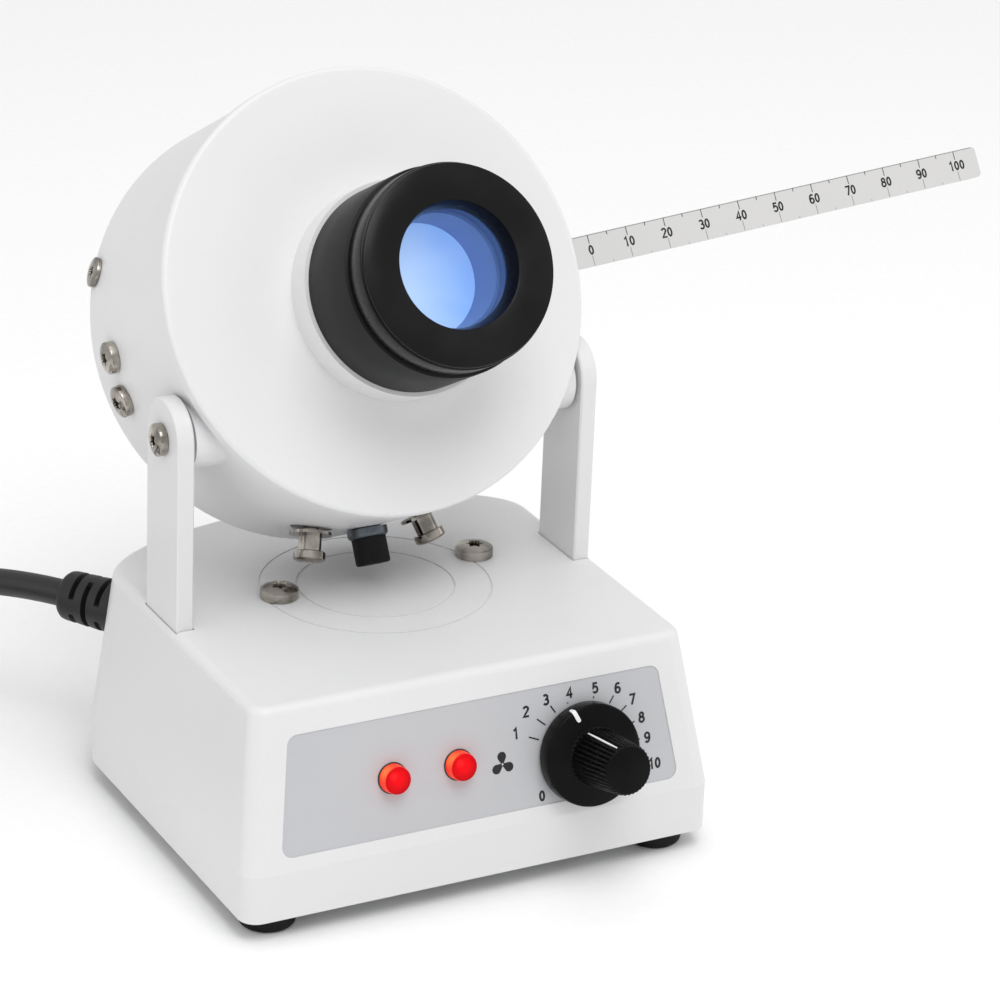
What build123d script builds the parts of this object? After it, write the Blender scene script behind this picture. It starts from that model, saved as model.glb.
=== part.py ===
from build123d import *
import os
from math import asin, atan2, cos, degrees, pi, radians, sin, tan

# Melting point apparatus: a tapered cast base with a front control panel, two upright
# arms, and a drum-shaped heating head that tilts between them and is read through
# a magnifying eyepiece. Millimetres, +X right, +Y back, +Z up, floor at z = 0.

# Base casting
BASE_FLARE = 7.0
BASE_HEIGHT = 66.0
SKIRT_HEIGHT = 15.8
FRONT_SETBACK = 11.6
SIDE_END = 117.0
REAR_DEPTH_TOP = 31.8
CORNER_RADIUS = 6.0
WALL = 3.0
TOP_THICKNESS = 3.6
TOP_EDGE_RADIUS = 3.0
PLATE_THICKNESS = 1.5
FIT_GAP = 0.3
GROOVE_WIDTH = 0.7
GROOVE_DEPTH = 0.35
GROOVE_RADII = (25.2, 37.1)
GROOVE_Y = 80.6

# Rubber feet and the posts that their screws go into
FOOT_RADIUS = 9.0
FOOT_HEIGHT = 7.0
FOOT_INSET = 13.0
REAR_FOOT_INSET_X = 27.0
REAR_FOOT_BACK = 20.0
POST_RADIUS = 5.0

# Control panel
PANEL_HALF_TOP = 63.8
PANEL_HALF_BOTTOM = 69.0
PANEL_LOW = 4.4
PANEL_HIGH = 42.2
PANEL_CORNER = 3.5
PANEL_THICKNESS = 0.9
PANEL_SINK = 0.3
LAMP_X = (-30.1, -7.5)
LAMP_UP = 22.8
LAMP_RADIUS = 4.6
LAMP_HEIGHT = 4.9
LAMP_TAPER = 0.2
LAMP_EDGE = 0.7
LAMP_BODY_RADIUS = 4.0
LAMP_BODY_LENGTH = 16.0

# Control knob
KNOB_X = 36.3
KNOB_UP = 18.9
KNOB_SKIRT_RADIUS = 16.4
KNOB_SKIRT_HEIGHT = 7.8
KNOB_RIM_HEIGHT = 3.5
KNOB_EDGE = 0.6
KNOB_GRIP_BASE = 9.2
KNOB_GRIP_END = 8.0
KNOB_HEIGHT = 28.0
KNOB_FLUTES = 24
KNOB_STANDOFF = 0.5
SHAFT_RADIUS = 3.0
SHAFT_FIT = 0.05
POT_NECK_RADIUS = 4.5
POT_RADIUS = 12.0
POT_DEPTH = 14.0

# Arms and their crossbar under the top plate
ARM_TUCK = 2.9
ARM_EDGE = 1.1
ARM_THICKNESS = 5.6
ARM_FRONT = 71.8
ARM_WIDTH = 24.2
PIVOT_DROP = 38.4
ARM_CROWN_RISE = 1.0
ARM_SLOT_GAP = 0.3
TOP_SCREWS = ((-32.5, 83.5), (39.5, 88.5))

# Tilting head
HEAD_TILT = 29.2
HEAD_Y = 84.9
HEAD_CLEAR = 2.64
DRUM_RADIUS = 70.2
DRUM_LENGTH = 71.5
DRUM_WALL = 2.5
COVER_OVERHANG = 1.0
COVER_THICKNESS = 3.5
COVER_LIP = 1.5
COVER_EDGE = 1.6
REAR_EDGE = 3.0
SPIGOT = 4.0
BOSS_RADIUS = 10.5
WASHER_THICKNESS = 1.0
WASHER_RADIUS = 9.0

# Eyepiece, on its own axis a little off the drum's
EYE_X = 4.8
EYE_UP = -1.8
COLLAR_RADIUS = 34.2
COLLAR_LENGTH = 11.0
BARREL_RADIUS = 32.9
BARREL_END = 39.5
SLEEVE_RADIUS = 28.0
SLEEVE_REACH = 20.0
RING_RADIUS = 31.6
RING_END = 50.7
EYE_HOLE = 19.8
EYE_EDGE = 1.8
LENS_RADIUS = 21.5
LENS_SINK = 5.0
LENS_THICKNESS = 6.0
LENS_RIM = 2.0
RUNNING_FIT = 0.05

# Heating block inside the drum
BLOCK_RADIUS = 19.0
BLOCK_FRONT = 6.5
BLOCK_LENGTH = 36.0
BLOCK_FLAT = 16.0
VIEW_BORE = 7.0
CAPILLARY_BORE = 1.1
CAPILLARY_PITCH = 5.0
CAPILLARIES = 3
CAPILLARY_BACK = 22.0
GUIDE_RADIUS = 9.0
GUIDE_DEPTH = 8.0
CARTRIDGE_RADIUS = 3.2
CARTRIDGE_LENGTH = 30.0
CARTRIDGE_X = 11.0
CARTRIDGE_DOWN = 9.0
SADDLE_HALF = 25.0
SADDLE_FRONT = 22.0
SADDLE_END = 52.0
SADDLE_DEPTH = 15.0
PILLAR_RADIUS = 7.0
PILLAR_BACK = 30.0
LAMP_BRACKET = 3.0
BULB_RADIUS = 4.5
BULB_NOSE = 6.0

# Thermometer strip, which slides into the block from the right
THERMO_RISE = 4.2
THERMO_TIP = 229.5
THERMO_WIDTH = 10.4
THERMO_THICKNESS = 2.2
THERMO_STRIP_START = 54.0
THERMO_STEM_RADIUS = 2.0
THERMO_BACK = 12.0
THERMO_CORNER = 1.5

# Screws: head radius, head height, shank radius
SCREW_LARGE = (6.2, 4.2, 3.0)
SCREW_SMALL = (5.2, 3.6, 2.5)
SCREW_FLAT = (4.9, 2.0, 2.0)
SCREW_FOOT = (4.0, 2.6, 2.0)
FOOT_SCREW_LENGTH = 14.0
TOP_SCREW_LENGTH = 9.0
SIDE_SCREW_PLACES = ((52.5, -92.6), (54.9, -103.9))
REAR_SCREW_FROM_END = 5.6
REAR_SCREW_ANGLE = 68.5
SIDE_SCREW_LENGTH = 8.0
REAR_SCREW_LENGTH = 5.0

# Hanging pieces under the drum
UNDER_BACK = 43.0
UNDER_X = 19.0
UNDER_NECK = 7.5
UNDER_LIFT = 1.2
UNDER_REACH = 11.0
UNDER_SLOT = 14.0
BUSHING_RADIUS = 5.6
BUSHING_FLANGE = 6.6
BUSHING_LENGTH = 12.0
BUSHING_SEAT = 0.3
BUSHING_DOME = 3.2

# Pieces inside the base
TRANSFORMER = (46.0, 34.0, 38.0)
TRANSFORMER_PLACE = (20.0, 120.0)
BOARD = (62.0, 50.0, 1.6)
BOARD_PLACE = (-30.0, 48.0)
STANDOFF = 6.0
FAN_SIZE = 40.0
FAN_DEPTH = 10.0
FAN_PLACE = (-32.0, 112.0)
FAN_BLADES = 7
FAN_HUB = 8.0
FAN_PIN = 1.5
AIR_SLOT = 2.6
AIR_SLOT_PITCH = 5.0
TERMINAL = (34.0, 14.0, 12.0)
TERMINAL_PLACE = (30.0, 62.0)

# Mains lead
CORD_RADIUS = 4.5
CORD_BELOW_TOP = 21.0
CORD_ARC_ANGLE = 33.0
BOOT_LENGTH = 26.0
BOOT_RADIUS = 9.6
BOOT_END_RADIUS = 7.4
BOOT_RIBS = 5
CORD_GRIP = 6.0
TAIL_LENGTH = 44.0
PLUG_WIDTH = 34.0
PLUG_HEIGHT = 18.0
PLUG_NECK = 18.0
PLUG_BODY = 24.0
PIN_RADIUS = 2.4
PIN_LENGTH = 19.0
PIN_PITCH = 19.0
COIL_CENTRE = (-238.0, 190.0)
COIL_MEAN_RADIUS = 50.0
LEAD_NODES = ("mains_lead", "lead_coil", "lead_tail", "mains_plug", "plug_pins")

COVER_RADIUS = DRUM_RADIUS + COVER_OVERHANG
ARM_INSIDE = DRUM_RADIUS - ARM_TUCK
BASE_HALF_TOP = ARM_INSIDE + ARM_THICKNESS + ARM_EDGE
BASE_HALF_BOTTOM = BASE_HALF_TOP + BASE_FLARE
REAR_FOOT_Y = SIDE_END + REAR_FOOT_BACK
CORD_HEIGHT = BASE_HEIGHT - CORD_BELOW_TOP
DRUM_REACH = DRUM_RADIUS * cos(radians(HEAD_TILT)) + DRUM_LENGTH * sin(radians(HEAD_TILT))
HEAD_HEIGHT = BASE_HEIGHT + HEAD_CLEAR + DRUM_REACH
PIVOT_HEIGHT = HEAD_HEIGHT - PIVOT_DROP
SADDLE_TOP = SADDLE_DEPTH + DRUM_WALL - DRUM_RADIUS
REAR_SCREW_BACK = DRUM_LENGTH - REAR_SCREW_FROM_END
REAR_SCREW_PLACES = ((REAR_SCREW_BACK, -REAR_SCREW_ANGLE), (REAR_SCREW_BACK, REAR_SCREW_ANGLE))
FLOOR_TO_TOP = FOOT_HEIGHT + BASE_HEIGHT
SLOPE = degrees(atan2(FRONT_SETBACK, BASE_HEIGHT - SKIRT_HEIGHT))
PIVOT_Y = ARM_FRONT + ARM_WIDTH / 2
PIVOT_Z = FOOT_HEIGHT + PIVOT_HEIGHT
HALF_FLARE = BASE_FLARE
REAR_DEPTH_BOTTOM = REAR_DEPTH_TOP + HALF_FLARE

panel_place = Location((0, 0, FOOT_HEIGHT + SKIRT_HEIGHT), (90 - SLOPE, 0, 0))
head_place = Location((0, HEAD_Y, FOOT_HEIGHT + HEAD_HEIGHT), (-HEAD_TILT, 0, 0))

nodes = {}


def add(name, shape):
    nodes[name] = shape


def plan(half_width, front, side_end, rear_depth, corner, height):
    """D-shaped outline: straight front and sides, half an ellipse at the rear."""
    rear = EllipticalCenterArc((0, side_end), half_width, rear_depth, start_angle=0, arc_size=180)
    left = Line(rear @ 1, (-half_width, front))
    fore = Line(left @ 1, (half_width, front))
    right = Line(fore @ 1, rear @ 0)
    face = make_face([rear, left, fore, right])
    if corner > 0:
        face = fillet(face.vertices().sort_by(Axis.Y)[:2], corner)
    return Pos(0, 0, height) * face


def x_rod(radius, start, end, y, z):
    return Pos((start + end) / 2, y, z) * Rot(0, 90, 0) * Cylinder(radius, end - start)


def y_rod(radius, start, end, x=0, z=0):
    return Pos(x, (start + end) / 2, z) * Rot(90, 0, 0) * Cylinder(radius, end - start)


def z_rod(radius, start, end, x=0, y=0):
    return Pos(x, y, (start + end) / 2) * Cylinder(radius, end - start)


def pan_screw(size, length):
    """Domed screw: its head stands on z = 0 and its shank goes down."""
    head, rise, shank = size
    side = rise * 0.42
    bulge = 0.7 * head
    profile = Polyline((0, 0), (head, 0), (head, side))
    dome = ThreePointArc((head, side), (bulge, rise * 0.88), (0, rise))
    outline = make_face([profile, dome, Line((0, rise), (0, 0))])
    body = revolve(Plane.XZ * outline, Axis.Z)
    socket = extrude(RegularPolygon(head * 0.36, 6), rise * 0.5)
    body -= Pos(0, 0, rise * 0.55) * socket
    return body + z_rod(shank, -length, 0)


def base_shape(inset, low, high):
    """Tapered casting outline, moved inward by inset, between two heights above the skirt."""
    def half(z):
        if z <= SKIRT_HEIGHT:
            return BASE_HALF_BOTTOM
        return BASE_HALF_BOTTOM - HALF_FLARE * (z - SKIRT_HEIGHT) / (BASE_HEIGHT - SKIRT_HEIGHT)

    def section(z):
        back = half(z) - BASE_HALF_BOTTOM
        front = 0 if z <= SKIRT_HEIGHT else FRONT_SETBACK * (z - SKIRT_HEIGHT) / (BASE_HEIGHT - SKIRT_HEIGHT)
        rear = REAR_DEPTH_BOTTOM + back
        corner = max(CORNER_RADIUS - inset, 1.0)
        z_floor = FOOT_HEIGHT + z
        return plan(half(z) - inset, front + inset, SIDE_END, rear - inset, corner, z_floor)

    skirt = extrude(section(low), SKIRT_HEIGHT - low)
    taper = loft([section(SKIRT_HEIGHT), section(high)], ruled=True)
    return skirt + taper


def foot_places():
    """Two feet at the front corners and two under the rear curve."""
    front_x = BASE_HALF_BOTTOM - FOOT_INSET
    rear_x = BASE_HALF_BOTTOM - REAR_FOOT_INSET_X
    return {
        "front_left": (-front_x, FOOT_INSET),
        "front_right": (front_x, FOOT_INSET),
        "rear_left": (-rear_x, REAR_FOOT_Y),
        "rear_right": (rear_x, REAR_FOOT_Y),
    }


def arm_slot(side):
    """Slot through the top plate and a little thinning of the wall beside it."""
    low = FLOOR_TO_TOP - TOP_THICKNESS - ARM_THICKNESS - ARM_SLOT_GAP
    width = ARM_THICKNESS + 2 * ARM_SLOT_GAP
    depth = ARM_WIDTH + 2 * ARM_SLOT_GAP
    height = FLOOR_TO_TOP - low + 1
    x = side * (ARM_INSIDE + ARM_THICKNESS / 2)
    return Pos(x, PIVOT_Y, low + height / 2) * Box(width, depth, height)


def panel_outline():
    corners = Polyline(
        (-PANEL_HALF_BOTTOM, PANEL_LOW),
        (PANEL_HALF_BOTTOM, PANEL_LOW),
        (PANEL_HALF_TOP, PANEL_HIGH),
        (-PANEL_HALF_TOP, PANEL_HIGH),
        close=True,
    )
    face = make_face(corners)
    return fillet(face.vertices(), PANEL_CORNER)


def boot_place():
    """Where the mains lead leaves the rear curve, with local +Z pointing out."""
    rise = (CORD_HEIGHT - SKIRT_HEIGHT) / (BASE_HEIGHT - SKIRT_HEIGHT)
    half = BASE_HALF_BOTTOM - HALF_FLARE * rise
    rear = REAR_DEPTH_BOTTOM - HALF_FLARE * rise
    angle = radians(CORD_ARC_ANGLE)
    point = (-half * cos(angle), SIDE_END + rear * sin(angle), FOOT_HEIGHT + CORD_HEIGHT)
    out = Vector(-cos(angle) / half, sin(angle) / rear, 0).normalized()
    return Plane(origin=point, x_dir=(0, 0, 1), z_dir=(out.X, out.Y, 0)), out


def make_base():
    casting = base_shape(0, 0, BASE_HEIGHT)
    top = casting.edges().group_by(Axis.Z)[-1]
    casting = fillet(top, TOP_EDGE_RADIUS)
    cavity = base_shape(WALL, 0, BASE_HEIGHT - TOP_THICKNESS)
    casting -= cavity
    for x, y in foot_places().values():
        post = z_rod(POST_RADIUS, FOOT_HEIGHT + PLATE_THICKNESS, FLOOR_TO_TOP - TOP_THICKNESS, x, y)
        casting += post & base_shape(WALL / 2, 0, BASE_HEIGHT - TOP_THICKNESS / 2)
    for side in (-1, 1):
        casting -= arm_slot(side)
    for radius in GROOVE_RADII:
        low = FLOOR_TO_TOP - GROOVE_DEPTH
        outer = z_rod(radius + GROOVE_WIDTH / 2, low, FLOOR_TO_TOP + 1, 0, GROOVE_Y)
        inner = z_rod(radius - GROOVE_WIDTH / 2, low, FLOOR_TO_TOP + 1, 0, GROOVE_Y)
        casting -= outer - inner
    for x, y in TOP_SCREWS:
        casting -= z_rod(SCREW_LARGE[2] + FIT_GAP, FLOOR_TO_TOP - 2 * TOP_THICKNESS, FLOOR_TO_TOP + 1, x, y)
    recess = extrude(panel_outline(), 2 * PANEL_THICKNESS)
    sink = PANEL_THICKNESS + PANEL_SINK
    casting -= panel_place * Pos(0, 0, -sink) * recess
    for x in LAMP_X:
        casting -= panel_place * z_rod(LAMP_BODY_RADIUS + FIT_GAP, -3 * WALL, 1, x, LAMP_UP)
    casting -= panel_place * z_rod(POT_NECK_RADIUS + FIT_GAP, -3 * WALL, 1, KNOB_X, KNOB_UP)
    place, out = boot_place()
    casting -= place * z_rod(BOOT_END_RADIUS + FIT_GAP, -3 * WALL, WALL)
    for x, y in foot_places().values():
        casting -= z_rod(SCREW_FOOT[2] + SHAFT_FIT, FOOT_HEIGHT, FOOT_HEIGHT + FOOT_SCREW_LENGTH, x, y)
    return casting



def make_bottom_plate():
    """Sheet that closes the casting, with screw holes and air slots under the fan."""
    gap = WALL + FIT_GAP
    corner = max(CORNER_RADIUS - gap, 1.0)
    rear = REAR_DEPTH_BOTTOM - gap
    sheet = plan(BASE_HALF_BOTTOM - gap, gap, SIDE_END, rear, corner, FOOT_HEIGHT)
    for x, y in foot_places().values():
        sheet -= Pos(x, y, FOOT_HEIGHT) * Circle(SCREW_FOOT[2] + FIT_GAP)
    x, y = FAN_PLACE
    for step in range(-3, 4):
        slot = SlotOverall(FAN_SIZE * 0.75, AIR_SLOT)
        sheet -= Pos(x, y + step * AIR_SLOT_PITCH, FOOT_HEIGHT) * slot
    return extrude(sheet, PLATE_THICKNESS)


def make_feet():
    """Moulded feet with a rounded lower edge and a counterbore for the screw."""
    screws = []
    for name, (x, y) in foot_places().items():
        foot = z_rod(FOOT_RADIUS, 0, FOOT_HEIGHT, x, y)
        foot = fillet(foot.edges().group_by(Axis.Z)[0], FOOT_HEIGHT * 0.28)
        seat = FOOT_HEIGHT * 0.55
        foot -= z_rod(SCREW_FOOT[0] + FIT_GAP, -1, seat, x, y)
        foot -= z_rod(SCREW_FOOT[2] + FIT_GAP, 0, FOOT_HEIGHT + 1, x, y)
        add("foot_" + name, foot)
        screw = Pos(x, y, seat) * Rot(180, 0, 30) * pan_screw(SCREW_FOOT, FOOT_SCREW_LENGTH)
        screws.append(screw)
    add("foot_screws", Compound(children=screws))


def make_panel():
    plate = extrude(panel_outline(), PANEL_THICKNESS)
    for x in LAMP_X:
        plate -= z_rod(LAMP_BODY_RADIUS + FIT_GAP, -1, WALL, x, LAMP_UP)
    plate -= z_rod(POT_NECK_RADIUS + FIT_GAP, -1, WALL, KNOB_X, KNOB_UP)
    return panel_place * Pos(0, 0, -PANEL_THICKNESS - PANEL_SINK) * plate


def make_lamp(x):
    """Pilot lamp: a round-edged cap on a body that passes through the panel."""
    lens = Pos(0, 0, LAMP_HEIGHT / 2) * Cone(LAMP_RADIUS, LAMP_RADIUS - LAMP_TAPER, LAMP_HEIGHT)
    lens = fillet(lens.edges().group_by(Axis.Z)[-1], LAMP_EDGE)
    body = z_rod(LAMP_BODY_RADIUS, -LAMP_BODY_LENGTH, 0)
    nut = extrude(RegularPolygon(LAMP_BODY_RADIUS * 1.6, 6), -3)
    body += Pos(0, 0, -WALL - PANEL_SINK - 1) * nut
    body -= z_rod(LAMP_BODY_RADIUS * 0.4, -LAMP_BODY_LENGTH - 1, 1 - LAMP_BODY_LENGTH)
    place = panel_place * Pos(x, LAMP_UP, -PANEL_SINK)
    return place * lens, place * body


def make_knob():
    """Skirted knob with a fluted grip and an index line."""
    rim = KNOB_SKIRT_RADIUS - KNOB_EDGE
    outline = Polyline(
        (0, 0),
        (KNOB_SKIRT_RADIUS, 0),
        (KNOB_SKIRT_RADIUS, KNOB_RIM_HEIGHT - KNOB_EDGE),
        (rim, KNOB_RIM_HEIGHT),
        (KNOB_GRIP_BASE + KNOB_EDGE, KNOB_SKIRT_HEIGHT),
        (0, KNOB_SKIRT_HEIGHT),
        close=True,
    )
    skirt = revolve(Plane.XZ * make_face(outline), Axis.Z)
    length = KNOB_HEIGHT - KNOB_SKIRT_HEIGHT
    grip = Pos(0, 0, KNOB_SKIRT_HEIGHT + length / 2) * Cone(KNOB_GRIP_BASE, KNOB_GRIP_END, length)
    grip = chamfer(grip.edges().group_by(Axis.Z)[-1], 0.8)
    flute = KNOB_GRIP_BASE * pi / KNOB_FLUTES * 0.62
    lean = degrees(atan2(KNOB_GRIP_BASE - KNOB_GRIP_END, length))
    for step in range(KNOB_FLUTES):
        cutter = Pos(KNOB_GRIP_BASE + flute * 0.25, 0, KNOB_SKIRT_HEIGHT + 1) * Rot(0, -lean, 0)
        cutter = cutter * z_rod(flute, 0, length + 4)
        grip -= Rot(0, 0, 360 / KNOB_FLUTES * (step + 0.5)) * cutter
    knob = skirt + grip
    knob -= z_rod(SHAFT_RADIUS + SHAFT_FIT, -1, KNOB_HEIGHT * 0.6)
    return panel_place * Pos(KNOB_X, KNOB_UP, KNOB_STANDOFF) * knob


def make_potentiometer():
    """Regulator behind the panel, with its turning shaft."""
    behind = -PANEL_SINK - PANEL_THICKNESS - WALL - 1
    body = z_rod(POT_RADIUS, behind - POT_DEPTH, behind)
    body += z_rod(POT_NECK_RADIUS, behind, -PANEL_SINK)
    body += Pos(0, -POT_RADIUS, behind - POT_DEPTH / 2) * Box(14, 8, 4)
    body -= z_rod(SHAFT_RADIUS + SHAFT_FIT, behind - POT_DEPTH / 2, 1)
    shaft = z_rod(SHAFT_RADIUS, behind - POT_DEPTH / 2 + 1, KNOB_STANDOFF + KNOB_HEIGHT * 0.55)
    place = panel_place * Pos(KNOB_X, KNOB_UP, 0)
    return place * body, place * shaft


def make_arm(side):
    """Flat upright with a round top and a hole for the pivot screw."""
    low = FLOOR_TO_TOP - TOP_THICKNESS - ARM_THICKNESS
    crown = PIVOT_Z + ARM_CROWN_RISE
    bar = Pos(0, (low + crown) / 2) * Rectangle(ARM_WIDTH, crown - low)
    top = Pos(0, crown) * Circle(ARM_WIDTH / 2)
    hole = Pos(0, PIVOT_Z) * Circle(SCREW_SMALL[2] + SHAFT_FIT)
    outline = Plane.YZ * (bar + top - hole)
    arm = extrude(outline, ARM_THICKNESS)
    arm = chamfer(arm.edges().group_by(Axis.Z)[-1], 0.5)
    start = side * ARM_INSIDE if side > 0 else -ARM_INSIDE - ARM_THICKNESS
    return Pos(start, PIVOT_Y, 0) * arm


def make_crossbar():
    low = FLOOR_TO_TOP - TOP_THICKNESS - ARM_THICKNESS
    bar = Pos(0, PIVOT_Y, low + ARM_THICKNESS / 2) * Box(2 * ARM_INSIDE, ARM_WIDTH, ARM_THICKNESS)
    for x, y in TOP_SCREWS:
        bar -= z_rod(SCREW_LARGE[2], low - 1, FLOOR_TO_TOP, x, y)
    return bar


def head(shape):
    return head_place * shape


def radial(angle, back, radius):
    """Place on the drum's side with local +Z pointing outward; angle 0 is the top."""
    return Pos(0, back, 0) * Rot(0, angle, 0) * Pos(0, 0, radius)


def pivot_in_head():
    """Pivot axis in the head's own frame: distance behind the face and above the axis."""
    tilt = radians(HEAD_TILT)
    dy = PIVOT_Y - HEAD_Y
    dz = PIVOT_Z - FOOT_HEIGHT - HEAD_HEIGHT
    return dy * cos(tilt) - dz * sin(tilt), dy * sin(tilt) + dz * cos(tilt)


def thermo_place():
    """Thermometer line: through the eyepiece axis, rising a little to the right."""
    return Pos(EYE_X, THERMO_BACK, EYE_UP) * Rot(0, -THERMO_RISE, 0)


def make_shell():
    """Drum wall with two pivot bosses, the thermometer slot and the screw holes."""
    start = COVER_THICKNESS
    end = DRUM_LENGTH - COVER_THICKNESS
    shell = y_rod(DRUM_RADIUS, start, end)
    back, down = pivot_in_head()
    for side in (-1, 1):
        outer = ARM_INSIDE - WASHER_THICKNESS - FIT_GAP
        low, high = sorted((side * (outer - 18), side * outer))
        shell += x_rod(BOSS_RADIUS, low, high, back, down)
    shell -= y_rod(DRUM_RADIUS - DRUM_WALL, start - 1, end + 1)
    for side in (-1, 1):
        low, high = sorted((side * 40, side * (COVER_RADIUS + 2)))
        shell -= x_rod(SCREW_SMALL[2] + SHAFT_FIT, low, high, back, down)
    slot = Box(2 * DRUM_RADIUS, THERMO_THICKNESS + 2 * FIT_GAP, THERMO_WIDTH + 2 * FIT_GAP)
    shell -= thermo_place() * Pos(DRUM_RADIUS + 20, 0, 0) * slot
    stem = x_rod(THERMO_STEM_RADIUS + FIT_GAP, DRUM_RADIUS - 20, DRUM_RADIUS + 20, 0, 0)
    shell -= thermo_place() * stem
    for spot, angle in SIDE_SCREW_PLACES:
        shell -= radial(angle, spot, DRUM_RADIUS) * z_rod(SCREW_SMALL[2] + FIT_GAP, -8, 2)
    for spot, angle in REAR_SCREW_PLACES:
        shell -= radial(angle, spot, DRUM_RADIUS) * z_rod(SCREW_FLAT[2] + FIT_GAP, -8, 2)
    for x in (-UNDER_X, UNDER_X):
        drop = under_angle(x)
        hole = extrude(SlotOverall(UNDER_SLOT, 2 * SCREW_SMALL[2] + 1), 12)
        shell -= radial(drop, UNDER_BACK, DRUM_RADIUS - 6) * hole
    shell -= radial(180, UNDER_BACK, DRUM_RADIUS) * z_rod(BUSHING_RADIUS - 1 + FIT_GAP, -8, 2)
    shell -= radial(0, CAPILLARY_BACK, DRUM_RADIUS) * z_rod(GUIDE_RADIUS, -8, 2, EYE_X)
    return shell


def under_angle(x):
    return 180 - degrees(asin(x / DRUM_RADIUS))


def make_front_cover():
    """Front disc with a rounded rim, a lip over the shell and a spigot inside it."""
    disc = y_rod(COVER_RADIUS, 0, COVER_THICKNESS + COVER_LIP)
    disc = fillet(disc.edges().group_by(Axis.Y)[0], COVER_EDGE)
    disc -= y_rod(DRUM_RADIUS + 0.1, COVER_THICKNESS, COVER_THICKNESS + COVER_LIP + 1)
    inner = DRUM_RADIUS - DRUM_WALL - 0.1
    spigot = y_rod(inner, COVER_THICKNESS, COVER_THICKNESS + SPIGOT)
    disc += spigot - y_rod(inner - 2, COVER_THICKNESS, COVER_THICKNESS + SPIGOT + 1)
    disc -= y_rod(SLEEVE_RADIUS + WALL + 0.1, -1, COVER_THICKNESS + 1, EYE_X, EYE_UP)
    return disc


def make_rear_cover():
    end = DRUM_LENGTH
    start = end - COVER_THICKNESS
    disc = y_rod(DRUM_RADIUS, start, end)
    disc = fillet(disc.edges().group_by(Axis.Y)[-1], REAR_EDGE)
    inner = DRUM_RADIUS - DRUM_WALL - 0.1
    spigot = y_rod(inner, start - SPIGOT, start)
    disc += spigot - y_rod(inner - 2.5, start - SPIGOT - 1, start)
    for spot, angle in REAR_SCREW_PLACES:
        disc -= radial(angle, spot, DRUM_RADIUS) * z_rod(SCREW_FLAT[2], -8, 2)
    return disc


def make_eyepiece():
    """Collar, fixed barrel, and the sliding ring that carries the lens."""
    def rod(radius, start, end):
        return y_rod(radius, -end, -start, EYE_X, EYE_UP)

    bore = SLEEVE_RADIUS + RUNNING_FIT
    collar = rod(COLLAR_RADIUS, 0, COLLAR_LENGTH) + rod(SLEEVE_RADIUS + WALL, -COVER_THICKNESS - 1, 0)
    collar -= rod(bore + 1, -COVER_THICKNESS - 2, COLLAR_LENGTH + 1)
    barrel = rod(BARREL_RADIUS, COLLAR_LENGTH, BARREL_END)
    barrel = chamfer(barrel.edges().group_by(Axis.Y)[0], 0.6)
    barrel -= rod(bore, COLLAR_LENGTH - 1, BARREL_END + 1)

    start = BARREL_END + FIT_GAP
    ring = rod(RING_RADIUS, start, RING_END)
    ring = chamfer(ring.edges().group_by(Axis.Y)[0], EYE_EDGE)
    ring = chamfer(ring.edges().group_by(Axis.Y)[-1], 0.5)
    ring += rod(SLEEVE_RADIUS, start - SLEEVE_REACH, start)
    front = RING_END - LENS_SINK
    throat = LENS_RADIUS - LENS_RIM
    taper = Pos(EYE_X, -(front + RING_END) / 2, EYE_UP) * Rot(90, 0, 0)
    ring -= taper * Cone(throat, EYE_HOLE, LENS_SINK)
    pocket = LENS_RADIUS + RUNNING_FIT
    ring -= rod(pocket, start - SLEEVE_REACH - 1, front)
    ring = chamfer(inner_front_edge(ring), 0.6)

    edge = LENS_THICKNESS / 3
    sag = (LENS_THICKNESS - edge) / 2
    middle = front - LENS_THICKNESS / 2
    curve = (LENS_RADIUS ** 2 + sag ** 2) / (2 * sag)
    lens = rod(LENS_RADIUS, middle - LENS_THICKNESS, middle + LENS_THICKNESS)
    for facing in (-1, 1):
        centre = -middle + facing * (curve - LENS_THICKNESS / 2)
        lens &= Pos(EYE_X, centre, EYE_UP) * Sphere(curve)
    lens &= rod(LENS_RADIUS, middle - LENS_THICKNESS, front)
    retainer_front = middle - edge / 2 - sag / 4
    retainer = rod(LENS_RADIUS, retainer_front - 4, retainer_front)
    retainer -= rod(throat, retainer_front - 5, retainer_front + 1)
    return collar, barrel, ring, lens, retainer


def inner_front_edge(ring):
    circles = ring.edges().filter_by(GeomType.CIRCLE).group_by(Axis.Y)[0]
    return circles.sort_by(SortBy.RADIUS)[0]



def make_block():
    """Aluminium block: sighting bore, capillary bores, thermometer and heater bores."""
    end = BLOCK_FRONT + BLOCK_LENGTH
    block = y_rod(BLOCK_RADIUS, BLOCK_FRONT, end, EYE_X, EYE_UP)
    below = EYE_UP - BLOCK_FLAT - BLOCK_RADIUS
    block -= Pos(EYE_X, end / 2, below) * Box(3 * BLOCK_RADIUS, 2 * end, 2 * BLOCK_RADIUS)
    block -= y_rod(VIEW_BORE, BLOCK_FRONT - 1, end + 1, EYE_X, EYE_UP)
    for x in capillary_places():
        block -= z_rod(CAPILLARY_BORE, EYE_UP, BLOCK_RADIUS + 2, x, CAPILLARY_BACK)
    stem = THERMO_STEM_RADIUS + RUNNING_FIT
    block -= thermo_place() * x_rod(stem, VIEW_BORE + 2, 3 * BLOCK_RADIUS, 0, 0)
    for side in (-1, 1):
        x = EYE_X + side * CARTRIDGE_X
        z = EYE_UP - CARTRIDGE_DOWN
        block -= y_rod(CARTRIDGE_RADIUS + RUNNING_FIT, end - CARTRIDGE_LENGTH, end + 1, x, z)
    return block


def capillary_places():
    first = EYE_X - CAPILLARY_PITCH * (CAPILLARIES - 1) / 2
    return [first + CAPILLARY_PITCH * step for step in range(CAPILLARIES)]


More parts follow.
